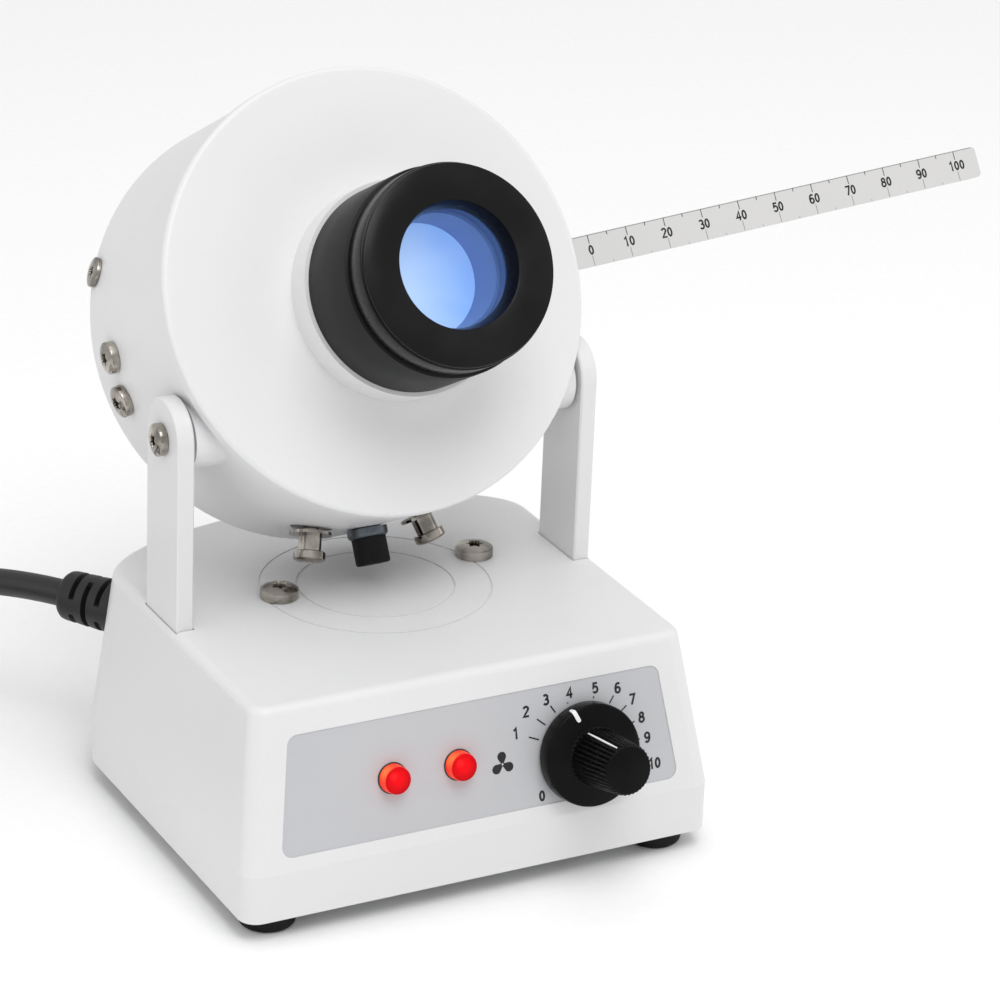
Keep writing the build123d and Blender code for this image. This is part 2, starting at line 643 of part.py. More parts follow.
def make_cartridges():
    end = BLOCK_FRONT + BLOCK_LENGTH
    rods = []
    for side in (-1, 1):
        x = EYE_X + side * CARTRIDGE_X
        z = EYE_UP - CARTRIDGE_DOWN
        rods.append(y_rod(CARTRIDGE_RADIUS, end - CARTRIDGE_LENGTH + 1, end + 3, x, z))
    return Compound(children=rods)


def make_guide():
    """Plug in the top of the drum with holes that lead the capillaries to the block."""
    guide = z_rod(GUIDE_RADIUS - FIT_GAP, BLOCK_RADIUS + EYE_UP + FIT_GAP, DRUM_RADIUS + 5)
    guide = Pos(EYE_X, CAPILLARY_BACK, 0) * guide
    guide &= y_rod(DRUM_RADIUS, 0, DRUM_LENGTH)
    for x in capillary_places():
        guide -= z_rod(CAPILLARY_BORE, 0, DRUM_RADIUS + 5, x, CAPILLARY_BACK)
    return guide


def make_saddle():
    """Curved saddle that lies on the drum wall and holds the pillar and the lamp bracket."""
    width = 2 * SADDLE_HALF
    depth = SADDLE_END - SADDLE_FRONT
    middle = (SADDLE_END + SADDLE_FRONT) / 2
    block = Pos(0, middle, SADDLE_TOP - DRUM_RADIUS / 2) * Box(width, depth, DRUM_RADIUS)
    block &= y_rod(DRUM_RADIUS - DRUM_WALL, 0, DRUM_LENGTH)
    for x in (-UNDER_X, UNDER_X):
        block -= radial(under_angle(x), UNDER_BACK, DRUM_RADIUS) * z_rod(SCREW_SMALL[2], -UNDER_REACH, 2)
    block -= radial(180, UNDER_BACK, DRUM_RADIUS) * z_rod(BUSHING_RADIUS, -SADDLE_HALF, 2)
    return block


def make_pillar():
    """Ceramic pillar that keeps the hot block off the saddle."""
    return z_rod(PILLAR_RADIUS, SADDLE_TOP, EYE_UP - BLOCK_FLAT, EYE_X, PILLAR_BACK)


def make_lamp_bracket():
    """Upright strip on the saddle with a socket for the sighting lamp."""
    low = SADDLE_TOP
    top = EYE_UP + BULB_RADIUS * 2
    height = top - low
    back = SADDLE_END - LAMP_BRACKET / 2
    strip = Pos(EYE_X, back, low + height / 2) * Box(16, LAMP_BRACKET, height)
    strip = fillet(strip.edges().filter_by(Axis.Y).group_by(Axis.Z)[-1], 5)
    socket = y_rod(BULB_RADIUS + 1.5, SADDLE_END - LAMP_BRACKET, SADDLE_END + 7, EYE_X, EYE_UP)
    return strip + socket


def make_bulb():
    """Small glass lamp behind the sighting bore."""
    front = SADDLE_END - LAMP_BRACKET
    bulb = y_rod(BULB_RADIUS, front - 2, front, EYE_X, EYE_UP)
    tip = y_rod(BULB_RADIUS - 1, front - BULB_NOSE, front - 2, EYE_X, EYE_UP)
    tip = fillet(tip.edges().group_by(Axis.Y)[0], BULB_RADIUS - 2)
    return bulb + tip


def make_under_screw(x):
    """Screw that hangs below the drum on a short collar and threads into the saddle."""
    place = radial(under_angle(x), UNDER_BACK, DRUM_RADIUS)
    screw = Pos(0, 0, UNDER_NECK) * pan_screw(SCREW_SMALL, UNDER_REACH + UNDER_NECK - 1)
    washer = z_rod(SCREW_SMALL[0] + 1.6, UNDER_LIFT, UNDER_LIFT + 1.0)
    collar = z_rod(SCREW_SMALL[2] + 1.2, UNDER_LIFT + 1.0, UNDER_NECK)
    collar += washer
    collar -= z_rod(SCREW_SMALL[2] + SHAFT_FIT, -1, UNDER_NECK + 1)
    return place * screw, place * collar


def make_bushing():
    """Domed flange under the drum and the black bushing that passes through it."""
    place = radial(180, UNDER_BACK, DRUM_RADIUS)
    neck = BUSHING_RADIUS - 1
    flange = z_rod(BUSHING_FLANGE, BUSHING_SEAT, BUSHING_SEAT + BUSHING_DOME)
    flange = fillet(flange.edges().group_by(Axis.Z)[-1], BUSHING_DOME * 0.45)
    flange -= z_rod(neck, -1, BUSHING_LENGTH)
    barrel = z_rod(BUSHING_RADIUS, BUSHING_SEAT + BUSHING_DOME, BUSHING_LENGTH)
    barrel = fillet(barrel.edges().group_by(Axis.Z)[-1], 0.8)
    barrel += z_rod(neck, -6, BUSHING_SEAT + BUSHING_DOME)
    return place * flange, place * barrel


def make_thermometer():
    """Flat graduated strip that carries a round stem into the block."""
    length = THERMO_TIP - THERMO_STRIP_START
    middle = (THERMO_TIP + THERMO_STRIP_START) / 2
    strip = Pos(middle, 0, 0) * Box(length, THERMO_THICKNESS, THERMO_WIDTH)
    strip = fillet(strip.edges().filter_by(Axis.Y).group_by(Axis.X)[-1], THERMO_CORNER)
    stem = x_rod(THERMO_STEM_RADIUS, VIEW_BORE + 3, THERMO_STRIP_START + 3, 0, 0)
    return thermo_place() * (strip + stem)


def make_pivot_screw(side):
    """Screw through the arm that the drum's boss turns on."""
    outer = ARM_INSIDE + ARM_THICKNESS
    screw = pan_screw(SCREW_SMALL, ARM_THICKNESS + WASHER_THICKNESS + 14)
    return Pos(side * outer, PIVOT_Y, PIVOT_Z) * Rot(0, side * 90, 0) * screw


def make_washer(side):
    low, high = sorted((side * (ARM_INSIDE - WASHER_THICKNESS), side * ARM_INSIDE))
    disc = x_rod(WASHER_RADIUS, low, high, PIVOT_Y, PIVOT_Z)
    return disc - x_rod(SCREW_SMALL[2] + SHAFT_FIT, low - 1, high + 1, PIVOT_Y, PIVOT_Z)


def make_boot():
    """Tapered strain relief with ribs, plugged into the rear curve of the casting."""
    place, out = boot_place()
    inner = 2 * WALL
    grip = z_rod(BOOT_END_RADIUS, -inner, 0.1)
    cone = Pos(0, 0, BOOT_LENGTH / 2) * Cone(BOOT_RADIUS, BOOT_END_RADIUS, BOOT_LENGTH)
    cone = fillet(cone.edges().group_by(Axis.Z)[-1], 1.5)
    pitch = (BOOT_LENGTH - 7) / BOOT_RIBS
    for step in range(BOOT_RIBS):
        z = 5 + pitch * (step + 0.5)
        groove = z_rod(BOOT_RADIUS + 1, z - pitch * 0.18, z + pitch * 0.18)
        cone -= groove - z_rod(CORD_RADIUS + 1.2, 0, BOOT_LENGTH)
    cone -= base_shape(0, 0, BASE_HEIGHT).moved(place.location.inverse())
    boot = grip + cone
    boot -= z_rod(CORD_RADIUS, BOOT_LENGTH - CORD_GRIP, BOOT_LENGTH + 1)
    return place * boot


def cord_points():
    """Route of the lead: out of the boot, down to the floor and round to the coil."""
    plane, out = boot_place()
    start = plane.origin + out * (BOOT_LENGTH - CORD_GRIP)
    first = plane.origin + out * (BOOT_LENGTH + 14)
    lie = CORD_RADIUS + 0.1
    coil_x, coil_y = COIL_CENTRE
    entry = coil_y + COIL_MEAN_RADIUS + CORD_RADIUS
    route = [
        (-106.0, 205.0, 41.0),
        (-130.0, 229.0, 23.0),
        (-163.0, 245.0, 7.5),
        (-200.0, entry + 3, lie),
        (coil_x, entry, lie),
    ]
    return [tuple(start), tuple(first)] + route


def make_cord(points):
    """Round lead along straight runs joined by tangent arcs."""
    corners = [Vector(*point) for point in points]
    radii = []
    for before, here, after in zip(corners, corners[1:], corners[2:]):
        run_in = here - before
        run_out = after - here
        turn = radians(run_in.get_angle(run_out))
        shorter = min(run_in.length, run_out.length)
        radii.append(0.45 * shorter / tan(turn / 2))
    print("cord radii", [round(radius, 1) for radius in radii])
    path = FilletPolyline(*points, radius=radii)
    section = Plane(origin=path @ 0, z_dir=path % 0) * Circle(CORD_RADIUS)
    cord = sweep(section, path=path)
    expected = section.area * path.length
    print("cord length", round(path.length, 1), "volume ratio", round(cord.volume / expected, 4))
    return cord


def make_coil():
    """Closed ring that the put-away turns of the lead fill."""
    outer = COIL_MEAN_RADIUS + 2 * CORD_RADIUS
    inner = COIL_MEAN_RADIUS - 2 * CORD_RADIUS
    height = 4 * CORD_RADIUS
    ring = z_rod(outer, 0.1, height) - z_rod(inner, -1, height + 1)
    return Pos(*COIL_CENTRE, 0) * ring


def coil_core():
    outer = COIL_MEAN_RADIUS + 2 * CORD_RADIUS
    return Pos(*COIL_CENTRE, 0) * z_rod(outer, -1, 6 * CORD_RADIUS)


def make_tail():
    """Straight end of the lead between the coil and the plug."""
    x, y = COIL_CENTRE
    line = y - COIL_MEAN_RADIUS - CORD_RADIUS
    tail = x_rod(CORD_RADIUS, x, x + TAIL_LENGTH, line, CORD_RADIUS + 0.1)
    return tail - coil_core()


def make_plug():
    """Moulded two-pin plug that lies on the floor at the end of the lead."""
    x, y = COIL_CENTRE
    start = x + TAIL_LENGTH
    line = y - COIL_MEAN_RADIUS - CORD_RADIUS
    place = Pos(start, line, PLUG_HEIGHT / 2 + 0.1)
    lower = CORD_RADIUS - PLUG_HEIGHT / 2
    small = Plane.YZ * Pos(0, lower) * Circle(CORD_RADIUS)
    wide = Plane.YZ * RectangleRounded(PLUG_WIDTH, PLUG_HEIGHT, PLUG_HEIGHT * 0.3)
    neck = loft([small, Pos(PLUG_NECK, 0, 0) * wide])
    body = extrude(Pos(PLUG_NECK, 0, 0) * wide, PLUG_BODY)
    pins = []
    reach = PLUG_NECK + PLUG_BODY
    for side in (-1, 1):
        pin = x_rod(PIN_RADIUS, reach, reach + PIN_LENGTH, side * PIN_PITCH / 2, 0)
        pin = chamfer(pin.edges().group_by(Axis.X)[-1], 0.8)
        pins.append(place * pin)
    return place * (neck + body), Compound(children=pins)


def make_transformer():
    """Laminated core with two windows, and the winding round its middle leg."""
    width, depth, height = TRANSFORMER
    x, y = TRANSFORMER_PLACE
    floor = FOOT_HEIGHT + PLATE_THICKNESS
    foot = 2.0
    middle = Pos(x, y, floor + foot + (height - foot) / 2)
    stack = middle * Box(width, depth * 0.5, height - foot)
    for side in (-1, 1):
        window = Box(width * 0.16, depth, height * 0.55)
        stack -= middle * Pos(side * width * 0.25, 0, 0) * window
    winding = middle * Box(width * 0.6, depth * 0.96, height * 0.5)
    winding = fillet(winding.edges().filter_by(Axis.Z), 3)
    winding -= stack
    plate = Pos(x, y, floor + foot / 2) * Box(width, depth, foot)
    return stack + plate, winding


def make_board():
    """Regulator board on four standoffs, with its larger components."""
    width, depth, thick = BOARD
    x, y = BOARD_PLACE
    floor = FOOT_HEIGHT + PLATE_THICKNESS
    low = floor + STANDOFF
    board = Pos(x, y, low + thick / 2) * Box(width, depth, thick)
    top = low + thick
    board += Pos(x - 18, y + 12, top + 9) * Box(18, 8, 18)
    board += Pos(x + 14, y + 8, top + 6) * Cylinder(6, 12)
    board += Pos(x + 20, y - 12, top + 5) * Box(14, 10, 10)
    board += Pos(x - 14, y - 10, top + 4) * Box(22, 12, 8)
    posts = []
    for side_x in (-1, 1):
        for side_y in (-1, 1):
            spot_x = x + side_x * (width / 2 - 4)
            spot_y = y + side_y * (depth / 2 - 4)
            posts.append(z_rod(2.5, floor, low, spot_x, spot_y))
    return board, Compound(children=posts)


def make_fan():
    """Small axial fan over the air slots: a square frame and its rotor."""
    x, y = FAN_PLACE
    floor = FOOT_HEIGHT + PLATE_THICKNESS
    seat = 1.5
    middle = floor + FAN_DEPTH / 2
    radius = FAN_SIZE / 2 - seat
    frame = Pos(0, 0, middle) * Box(FAN_SIZE, FAN_SIZE, FAN_DEPTH)
    frame = fillet(frame.edges().filter_by(Axis.Z), 3)
    frame -= z_rod(radius, floor - 1, floor + FAN_DEPTH + 1)
    frame += z_rod(FAN_HUB, floor, floor + seat)
    for turn in (45, 135):
        frame += Pos(0, 0, floor + seat / 2) * Rot(0, 0, turn) * Box(2 * radius + 1, 2.5, seat)
    frame -= z_rod(FAN_PIN + RUNNING_FIT, floor - 1, floor + FAN_DEPTH)
    start = floor + seat + FIT_GAP
    end = floor + FAN_DEPTH - 0.6
    rotor = z_rod(FAN_HUB, start, end)
    reach = radius - FAN_HUB
    blade = Box(reach, 1.0, FAN_DEPTH * 0.6)
    for step in range(FAN_BLADES):
        turn = Rot(0, 0, 360 / FAN_BLADES * step)
        rotor += turn * Pos(FAN_HUB + reach / 2 - 0.6, 0, (start + end) / 2) * Rot(35, 0, 0) * blade
    rotor += z_rod(FAN_PIN, floor + 0.2, start)
    return Pos(x, y, 0) * frame, Pos(x, y, 0) * rotor


def make_terminal():
    """Connector block with four screw wells."""
    width, depth, height = TERMINAL
    x, y = TERMINAL_PLACE
    floor = FOOT_HEIGHT + PLATE_THICKNESS
    block = Pos(x, y, floor + height / 2) * Box(width, depth, height)
    for step in range(4):
        spot = x + (step - 1.5) * width / 4
        block -= z_rod(1.8, floor + height - 4, floor + height + 1, spot, y)
    return block


def build_base():
    add("base_housing", make_base())
    add("bottom_plate", make_bottom_plate())
    make_feet()
    add("control_panel", make_panel())
    for name, x in zip(("left", "right"), LAMP_X):
        lens, body = make_lamp(x)
        add("pilot_lens_" + name, lens)
        add("pilot_body_" + name, body)
    add("control_knob", make_knob())
    potentiometer, shaft = make_potentiometer()
    add("potentiometer", potentiometer)
    add("knob_shaft", shaft)
    add("left_arm", make_arm(-1))
    add("right_arm", make_arm(1))
    add("arm_crossbar", make_crossbar())
    top = [Pos(x, y, FLOOR_TO_TOP) * pan_screw(SCREW_LARGE, TOP_SCREW_LENGTH) for x, y in TOP_SCREWS]
    add("top_screws", Compound(children=top))
    add("pivot_screws", Compound(children=[make_pivot_screw(-1), make_pivot_screw(1)]))
    add("friction_washers", Compound(children=[make_washer(-1), make_washer(1)]))


def build_head():
    add("drum_shell", head(make_shell()))
    add("front_cover", head(make_front_cover()))
    add("rear_cover", head(make_rear_cover()))
    collar, barrel, ring, lens, retainer = make_eyepiece()
    add("eyepiece_collar", head(collar))
    add("eyepiece_barrel", head(barrel))
    add("eye_ring", head(ring))
    add("eye_lens", head(lens))
    add("lens_retainer", head(retainer))
    add("heating_block", head(make_block()))
    add("heater_cartridges", head(make_cartridges()))
    add("capillary_guide", head(make_guide()))
    add("block_saddle", head(make_saddle()))
    add("ceramic_pillar", head(make_pillar()))
    add("lamp_bracket", head(make_lamp_bracket()))
    add("sighting_lamp", head(make_bulb()))
    add("thermometer", head(make_thermometer()))
    side = []
    for back, angle in SIDE_SCREW_PLACES:
        side.append(radial(angle, back, DRUM_RADIUS) * pan_screw(SCREW_SMALL, SIDE_SCREW_LENGTH))
    add("side_screws", head(Compound(children=side)))
    rear = []
    for back, angle in REAR_SCREW_PLACES:
        rear.append(radial(angle, back, DRUM_RADIUS) * pan_screw(SCREW_FLAT, REAR_SCREW_LENGTH))
    add("rear_cover_screws", head(Compound(children=rear)))
    pairs = [make_under_screw(x) for x in (-UNDER_X, UNDER_X)]
    add("under_screws", head(Compound(children=[screw for screw, collar in pairs])))
    add("under_collars", head(Compound(children=[collar for screw, collar in pairs])))
    flange, bushing = make_bushing()
    add("bushing_flange", head(flange))
    add("cable_bushing", head(bushing))


def build_inside():
    core, winding = make_transformer()
    add("transformer_core", core)
    add("transformer_winding", winding)
    board, posts = make_board()
    add("regulator_board", board)
    add("board_standoffs", posts)
    frame, rotor = make_fan()
    add("fan_frame", frame)
    add("fan_rotor", rotor)
    add("terminal_block", make_terminal())


def build_lead():
    add("strain_relief", make_boot())
    add("mains_lead", make_cord(cord_points()) - coil_core())
    add("lead_coil", make_coil())
    add("lead_tail", make_tail())
    plug, pins = make_plug()
    add("mains_plug", plug)
    add("plug_pins", pins)


def origin_shift():
    """Bottom centre of the box round the whole object, without its lead."""
    shapes = [shape for name, shape in nodes.items() if name not in LEAD_NODES]
    boxes = [shape.bounding_box() for shape in shapes]
    middle_x = (min(box.min.X for box in boxes) + max(box.max.X for box in boxes)) / 2
    middle_y = (min(box.min.Y for box in boxes) + max(box.max.Y for box in boxes)) / 2
    return Pos(-middle_x, -middle_y, 0)


build_base()
build_head()
build_inside()
build_lead()
shift = origin_shift()
os.makedirs("parts", exist_ok=True)
for name, shape in nodes.items():
    export_step(shift * shape, "parts/" + name + ".step")
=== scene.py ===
from math import asin, atan2, cos, degrees, pi, radians, sin, sqrt

import bmesh
import bpy
from mathutils import Matrix, Vector


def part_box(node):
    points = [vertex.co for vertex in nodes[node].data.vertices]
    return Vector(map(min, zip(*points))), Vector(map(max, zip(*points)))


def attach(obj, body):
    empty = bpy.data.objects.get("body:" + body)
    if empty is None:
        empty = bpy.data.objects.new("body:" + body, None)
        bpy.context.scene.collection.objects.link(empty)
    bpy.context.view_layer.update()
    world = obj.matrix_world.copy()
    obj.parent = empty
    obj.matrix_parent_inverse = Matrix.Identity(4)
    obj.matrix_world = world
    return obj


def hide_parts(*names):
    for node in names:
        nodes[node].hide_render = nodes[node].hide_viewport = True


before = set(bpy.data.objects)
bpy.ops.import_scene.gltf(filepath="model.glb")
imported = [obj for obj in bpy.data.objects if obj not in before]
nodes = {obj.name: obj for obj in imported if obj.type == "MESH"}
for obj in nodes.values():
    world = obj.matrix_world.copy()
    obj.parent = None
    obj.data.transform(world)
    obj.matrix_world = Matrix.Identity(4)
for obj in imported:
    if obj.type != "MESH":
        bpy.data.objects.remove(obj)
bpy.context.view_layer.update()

# Places, in millimetres
MM = 0.001
low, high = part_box("base_housing")
BASE = Matrix.Translation(((low.x + high.x) / 2, low.y, 0)) @ Matrix.Scale(MM, 4)
SLOPE = degrees(atan2(11.6, 50.2))
PANEL_SINK = 0.3


def shift(x, y, z):
    return Matrix.Translation((x, y, z))


def turn(angle, axis):
    return Matrix.Rotation(radians(angle), 4, axis)


DRUM = 70.2
HEAD = BASE @ shift(0, 84.9, 171.8) @ turn(-29.2, "X")
PANEL = BASE @ shift(0, 0, 22.8) @ turn(90 - SLOPE, "X")
SCALE = HEAD @ shift(4.8, 12, -1.8) @ turn(-4.2, "Y")
EYE = HEAD @ shift(4.8, 0, -1.8) @ turn(90, "X")


def radial(angle, back, radius):
    return HEAD @ shift(0, back, 0) @ turn(angle, "Y") @ shift(0, 0, radius)


# Camera
AZIMUTH, ELEVATION, ROLL = -28.508, 23.434, 2.379
CAMERA_BACK = 1.35299
CAMERA_TARGET = (43.69, 80.0, 95.05)
LENS = 151.2


def place_camera():
    azimuth, elevation, roll = radians(AZIMUTH), radians(ELEVATION), radians(ROLL)
    back = Vector((sin(azimuth) * cos(elevation), -cos(azimuth) * cos(elevation), sin(elevation)))
    level = Vector((0, 0, 1)).cross(back).normalized()
    upright = back.cross(level)
    right = level * cos(roll) + upright * sin(roll)
    up = upright * cos(roll) - level * sin(roll)
    data = bpy.data.cameras.new("camera")
    data.sensor_width = 36
    data.lens = LENS
    data.clip_start, data.clip_end = 0.05, 50
    camera = bpy.data.objects.new("camera", data)
    bpy.context.scene.collection.objects.link(camera)
    target = BASE @ Vector(CAMERA_TARGET)
    turned = Matrix((right, up, back)).transposed().to_4x4()
    camera.matrix_world = Matrix.Translation(target + back * CAMERA_BACK) @ turned
    bpy.context.scene.camera = camera


place_camera()


# Materials
class Graph:
    """A node material: small helpers round one shader."""

    def __init__(self, name):
        self.material = bpy.data.materials.new(name)
        self.material.use_nodes = True
        self.tree = self.material.node_tree
        self.shader = self.tree.nodes["Principled BSDF"]
        self.place = self.node("ShaderNodeTexCoord").outputs["Object"]

    def node(self, kind, **settings):
        made = self.tree.nodes.new(kind)
        for key, value in settings.items():
            setattr(made, key, value)
        return made

    def link(self, start, end):
        self.tree.links.new(start, end)

    def noise(self, scale, detail=2.0, stretch=None, distortion=0.0):
        made = self.node("ShaderNodeTexNoise")
        made.inputs["Scale"].default_value = scale
        made.inputs["Detail"].default_value = detail
        made.inputs["Distortion"].default_value = distortion
        self.link(self.stretched(stretch), made.inputs["Vector"])
        return made.outputs["Fac"]

    def stretched(self, stretch):
        if stretch is None:
            return self.place
        mapping = self.node("ShaderNodeMapping")
        mapping.inputs["Scale"].default_value = stretch
        self.link(self.place, mapping.inputs["Vector"])
        return mapping.outputs["Vector"]

    def local(self, place):
        """Millimetres in a place's own frame, for a tone that follows the piece."""
        spot, spin, size = place.inverted().decompose()
        mapping = self.node("ShaderNodeMapping")
        mapping.inputs["Location"].default_value = spot
        mapping.inputs["Rotation"].default_value = spin.to_euler("XYZ")
        mapping.inputs["Scale"].default_value = size
        self.link(self.place, mapping.inputs["Vector"])
        return mapping.outputs["Vector"]

    def away(self, place, centre=(0, 0, 0)):
        """Distance in millimetres from a point of a place."""
        made = self.node("ShaderNodeVectorMath", operation="DISTANCE")
        self.link(self.local(place), made.inputs[0])
        made.inputs[1].default_value = centre
        return made.outputs["Value"]

    def spread(self, value, low, high, start=0.3, end=0.7):
        made = self.node("ShaderNodeMapRange")
        made.inputs["From Min"].default_value = start
        made.inputs["From Max"].default_value = end
        made.inputs["To Min"].default_value = low
        made.inputs["To Max"].default_value = high
        self.link(value, made.inputs["Value"])
        return made.outputs["Result"]

    def blend(self, factor, first, second):
        made = self.node("ShaderNodeMix", data_type="RGBA")
        for socket, value in (("A_Color", first), ("B_Color", second)):
            found = next(i for i in made.inputs if i.identifier == socket)
            if isinstance(value, tuple):
                found.default_value = (*value, 1)
            else:
                self.link(value, found)
        self.link(factor, next(i for i in made.inputs if i.identifier == "Factor_Float"))
        return next(o for o in made.outputs if o.identifier == "Result_Color")

    def bump(self, height, distance, strength=1.0, below=None):
        made = self.node("ShaderNodeBump")
        made.inputs["Distance"].default_value = distance
        made.inputs["Strength"].default_value = strength
        self.link(height, made.inputs["Height"])
        if below is not None:
            self.link(below, made.inputs["Normal"])
        return made.outputs["Normal"]

    def set(self, **values):
        for key, value in values.items():
            socket = self.shader.inputs[key.replace("_", " ")]
            if isinstance(value, (int, float)):
                socket.default_value = value
            elif isinstance(value, tuple):
                socket.default_value = (*value, 1)
            else:
                self.link(value, socket)


def shade(colour, factor):
    return tuple(min(1.0, c * factor) for c in colour)


def painted(name, colour, rough, peel=900, depth=0.00003, speck=2200):
    """Powder coat: orange peel, a finer grain on it and faint cloudiness."""
    g = Graph(name)
    cloud = g.noise(14, 3)
    grain = g.noise(speck, 2)
    tone = g.blend(g.spread(cloud, 0, 1), shade(colour, 0.975), shade(colour, 1.012))
    tone = g.blend(g.spread(grain, 0, 0.35), tone, shade(colour, 0.93))
    normal = g.bump(g.noise(peel, 2), depth)
    normal = g.bump(grain, depth * 0.35, 0.8, normal)
    gloss = g.spread(g.noise(60, 3), rough - 0.05, rough + 0.07)
    g.set(Base_Color=tone, Roughness=gloss, Normal=normal)
    g.set(Specular_IOR_Level=0.45, Coat_Weight=0.12, Coat_Roughness=0.3)
    return g.material


def moulded(name, colour, rough, grain=900, depth=0.00003, specular=0.5):
    """Moulded plastic or rubber: fine texture, uneven gloss and a trace of dust."""
    g = Graph(name)
    dust = g.noise(45, 4)
    fine = g.noise(grain, 3)
    tone = g.blend(g.spread(dust, 0, 0.6, 0.45, 0.8), colour, tuple(c * 0.8 + 0.006 for c in colour))
    normal = g.bump(fine, depth)
    g.set(Base_Color=tone, Roughness=g.spread(dust, rough - 0.06, rough + 0.1), Normal=normal)
    g.set(Specular_IOR_Level=specular)
    return g.material


def metal(name, colour, rough, stretch=(1, 1, 1), scratch=700, depth=0.000012, blots=0.86):
    """Plated or bare metal: fine lines along one direction, smudges in the gloss."""
    g = Graph(name)
    line = g.noise(scratch, 3, stretch)
    smudge = g.noise(120, 4)
    tone = g.blend(g.spread(smudge, 0, 1, 0.38, 0.6), shade(colour, blots), shade(colour, 1.08))
    g.set(Base_Color=tone, Metallic=1.0)
    g.set(Roughness=g.spread(smudge, rough - 0.06, rough + 0.1), Normal=g.bump(line, depth))
    return g.material


def make_materials():
    made = {
        "casting": painted("casting_paint", (0.76, 0.76, 0.765), 0.42),
        "sheet": painted("drum_paint", (0.78, 0.78, 0.785), 0.40, peel=1000, depth=0.00002),
        "collar": painted("collar_paint", (0.76, 0.76, 0.76), 0.35, peel=1000, depth=0.00002),
        "panel": painted("panel_foil", (0.525, 0.53, 0.55), 0.45, peel=900, depth=0.00001, speck=2600),
        "rubber": moulded("rubber", (0.006, 0.006, 0.0065), 0.6, 700, 0.00008, 0.2),
        "lead": moulded("lead_sheath", (0.014, 0.014, 0.015), 0.42, 500, 0.00006, 0.5),
        "boot": moulded("boot_rubber", (0.013, 0.013, 0.014), 0.5, 800, 0.00006, 0.45),
        "satin": moulded("satin_black", (0.016, 0.0165, 0.018), 0.36, 1400, 0.00003, 0.5),
        "gloss": moulded("gloss_black", (0.002, 0.002, 0.0024), 0.24, 300, 0.00001, 0.10),
        "barrel": moulded("barrel_black", (0.008, 0.008, 0.009), 0.42, 1400, 0.00003, 0.18),
        "ring": moulded("ring_black", (0.003, 0.003, 0.0034), 0.28, 1400, 0.00002, 0.22),
        "nylon": moulded("grey_nylon", (0.30, 0.30, 0.305), 0.5, 900, 0.00004),
        "dark": moulded("dark_plastic", (0.03, 0.03, 0.032), 0.45),
        "ceramic": moulded("ceramic", (0.72, 0.69, 0.62), 0.55, 500, 0.00005),
        "board": moulded("board_green", (0.02, 0.12, 0.05), 0.4, 300, 0.00004),
        "ink": moulded("black_ink", (0.008, 0.008, 0.009), 0.5, 2500, 0.000004),
        "faint": moulded("faint_ink", (0.22, 0.22, 0.22), 0.5, 2500, 0.000004),
        "chalk": moulded("white_mark", (0.85, 0.85, 0.84), 0.45, 2000, 0.00001),
        "nickel": metal("dark_nickel", (0.46, 0.425, 0.38), 0.16, (1, 1, 6), blots=0.45),
        "flange": metal("blued_steel", (0.13, 0.15, 0.17), 0.32, (1, 6, 1)),
        "steel": metal("zinc_steel", (0.55, 0.56, 0.57), 0.35, (6, 1, 1), 500, 0.00002),
        "strip": painted("satin_strip", (0.62, 0.615, 0.61), 0.38, 1800, 0.00001, 3000),
        "bare": metal("turned_aluminium", (0.72, 0.72, 0.73), 0.3, (1, 8, 1), 400, 0.00002),
        "copper": metal("copper_wire", (0.75, 0.33, 0.16), 0.3, (1, 1, 40), 120, 0.0002),
    }
    made["clear"] = clear_glass()
    made["lens"] = coated_lens()
    for side, x in LAMPS:
        made["lamp_side_" + side] = lamp_side(x)
        made["lamp_front_" + side] = lamp_front(x)
    made["view"] = lit_screen()
    # The blue tube and the lens retainer carry painted light: both glow, though neither is a lamp.
    made["tube"] = blue_tube("blue_tube", (0.020, 0.065, 0.24), (0.07, 0.16, 0.44), 0.22)
    made["deep"] = blue_tube("deep_blue_tube", (0.004, 0.018, 0.09), (0.010, 0.045, 0.19), 0.3)
    return made


def clear_glass():
    g = Graph("clear_glass")
    g.set(Base_Color=(0.95, 0.97, 1.0), Transmission_Weight=1.0, IOR=1.47)
    g.set(Roughness=g.spread(g.noise(80, 3), 0.01, 0.05))
    return g.material


def coated_lens():
    """Coated glass that is seen through, with the coating's blue on it."""
    g = Graph("coated_lens")
    g.set(Base_Color=(0.20, 0.36, 0.78), Alpha=0.14, Coat_Weight=1.0, Coat_Roughness=0.02)
    g.set(Roughness=g.spread(g.noise(90, 3), 0.02, 0.06), Specular_IOR_Level=0.7)
    g.material.surface_render_method = "BLENDED"
    return g.material


LAMPS = (("left", -30.1), ("right", -7.5))
LAMP_UP = 22.8


def lamp_front(x):
    """Red front that glows from its middle and darkens towards the rim."""
    g = Graph("lamp_front")
    place = PANEL @ shift(x, LAMP_UP, 0)
    fleck = g.noise(260, 3)
    edge = g.spread(g.away(place, (-0.5, 0.7, 4.6)), 0, 1, 1.2, 5.2)
    tone = g.blend(edge, (0.72, 0.004, 0.008), (0.36, 0.002, 0.004))
    tone = g.blend(g.spread(g.away(place, (-1.6, 1.7, 4.6)), 0.45, 0, 0.2, 1.6), tone, (0.95, 0.03, 0.03))
    g.set(Base_Color=tone, Roughness=g.spread(fleck, 0.3, 0.4), Specular_IOR_Level=0.06)
    g.set(Emission_Color=tone, Emission_Strength=0.36)
    return g.material


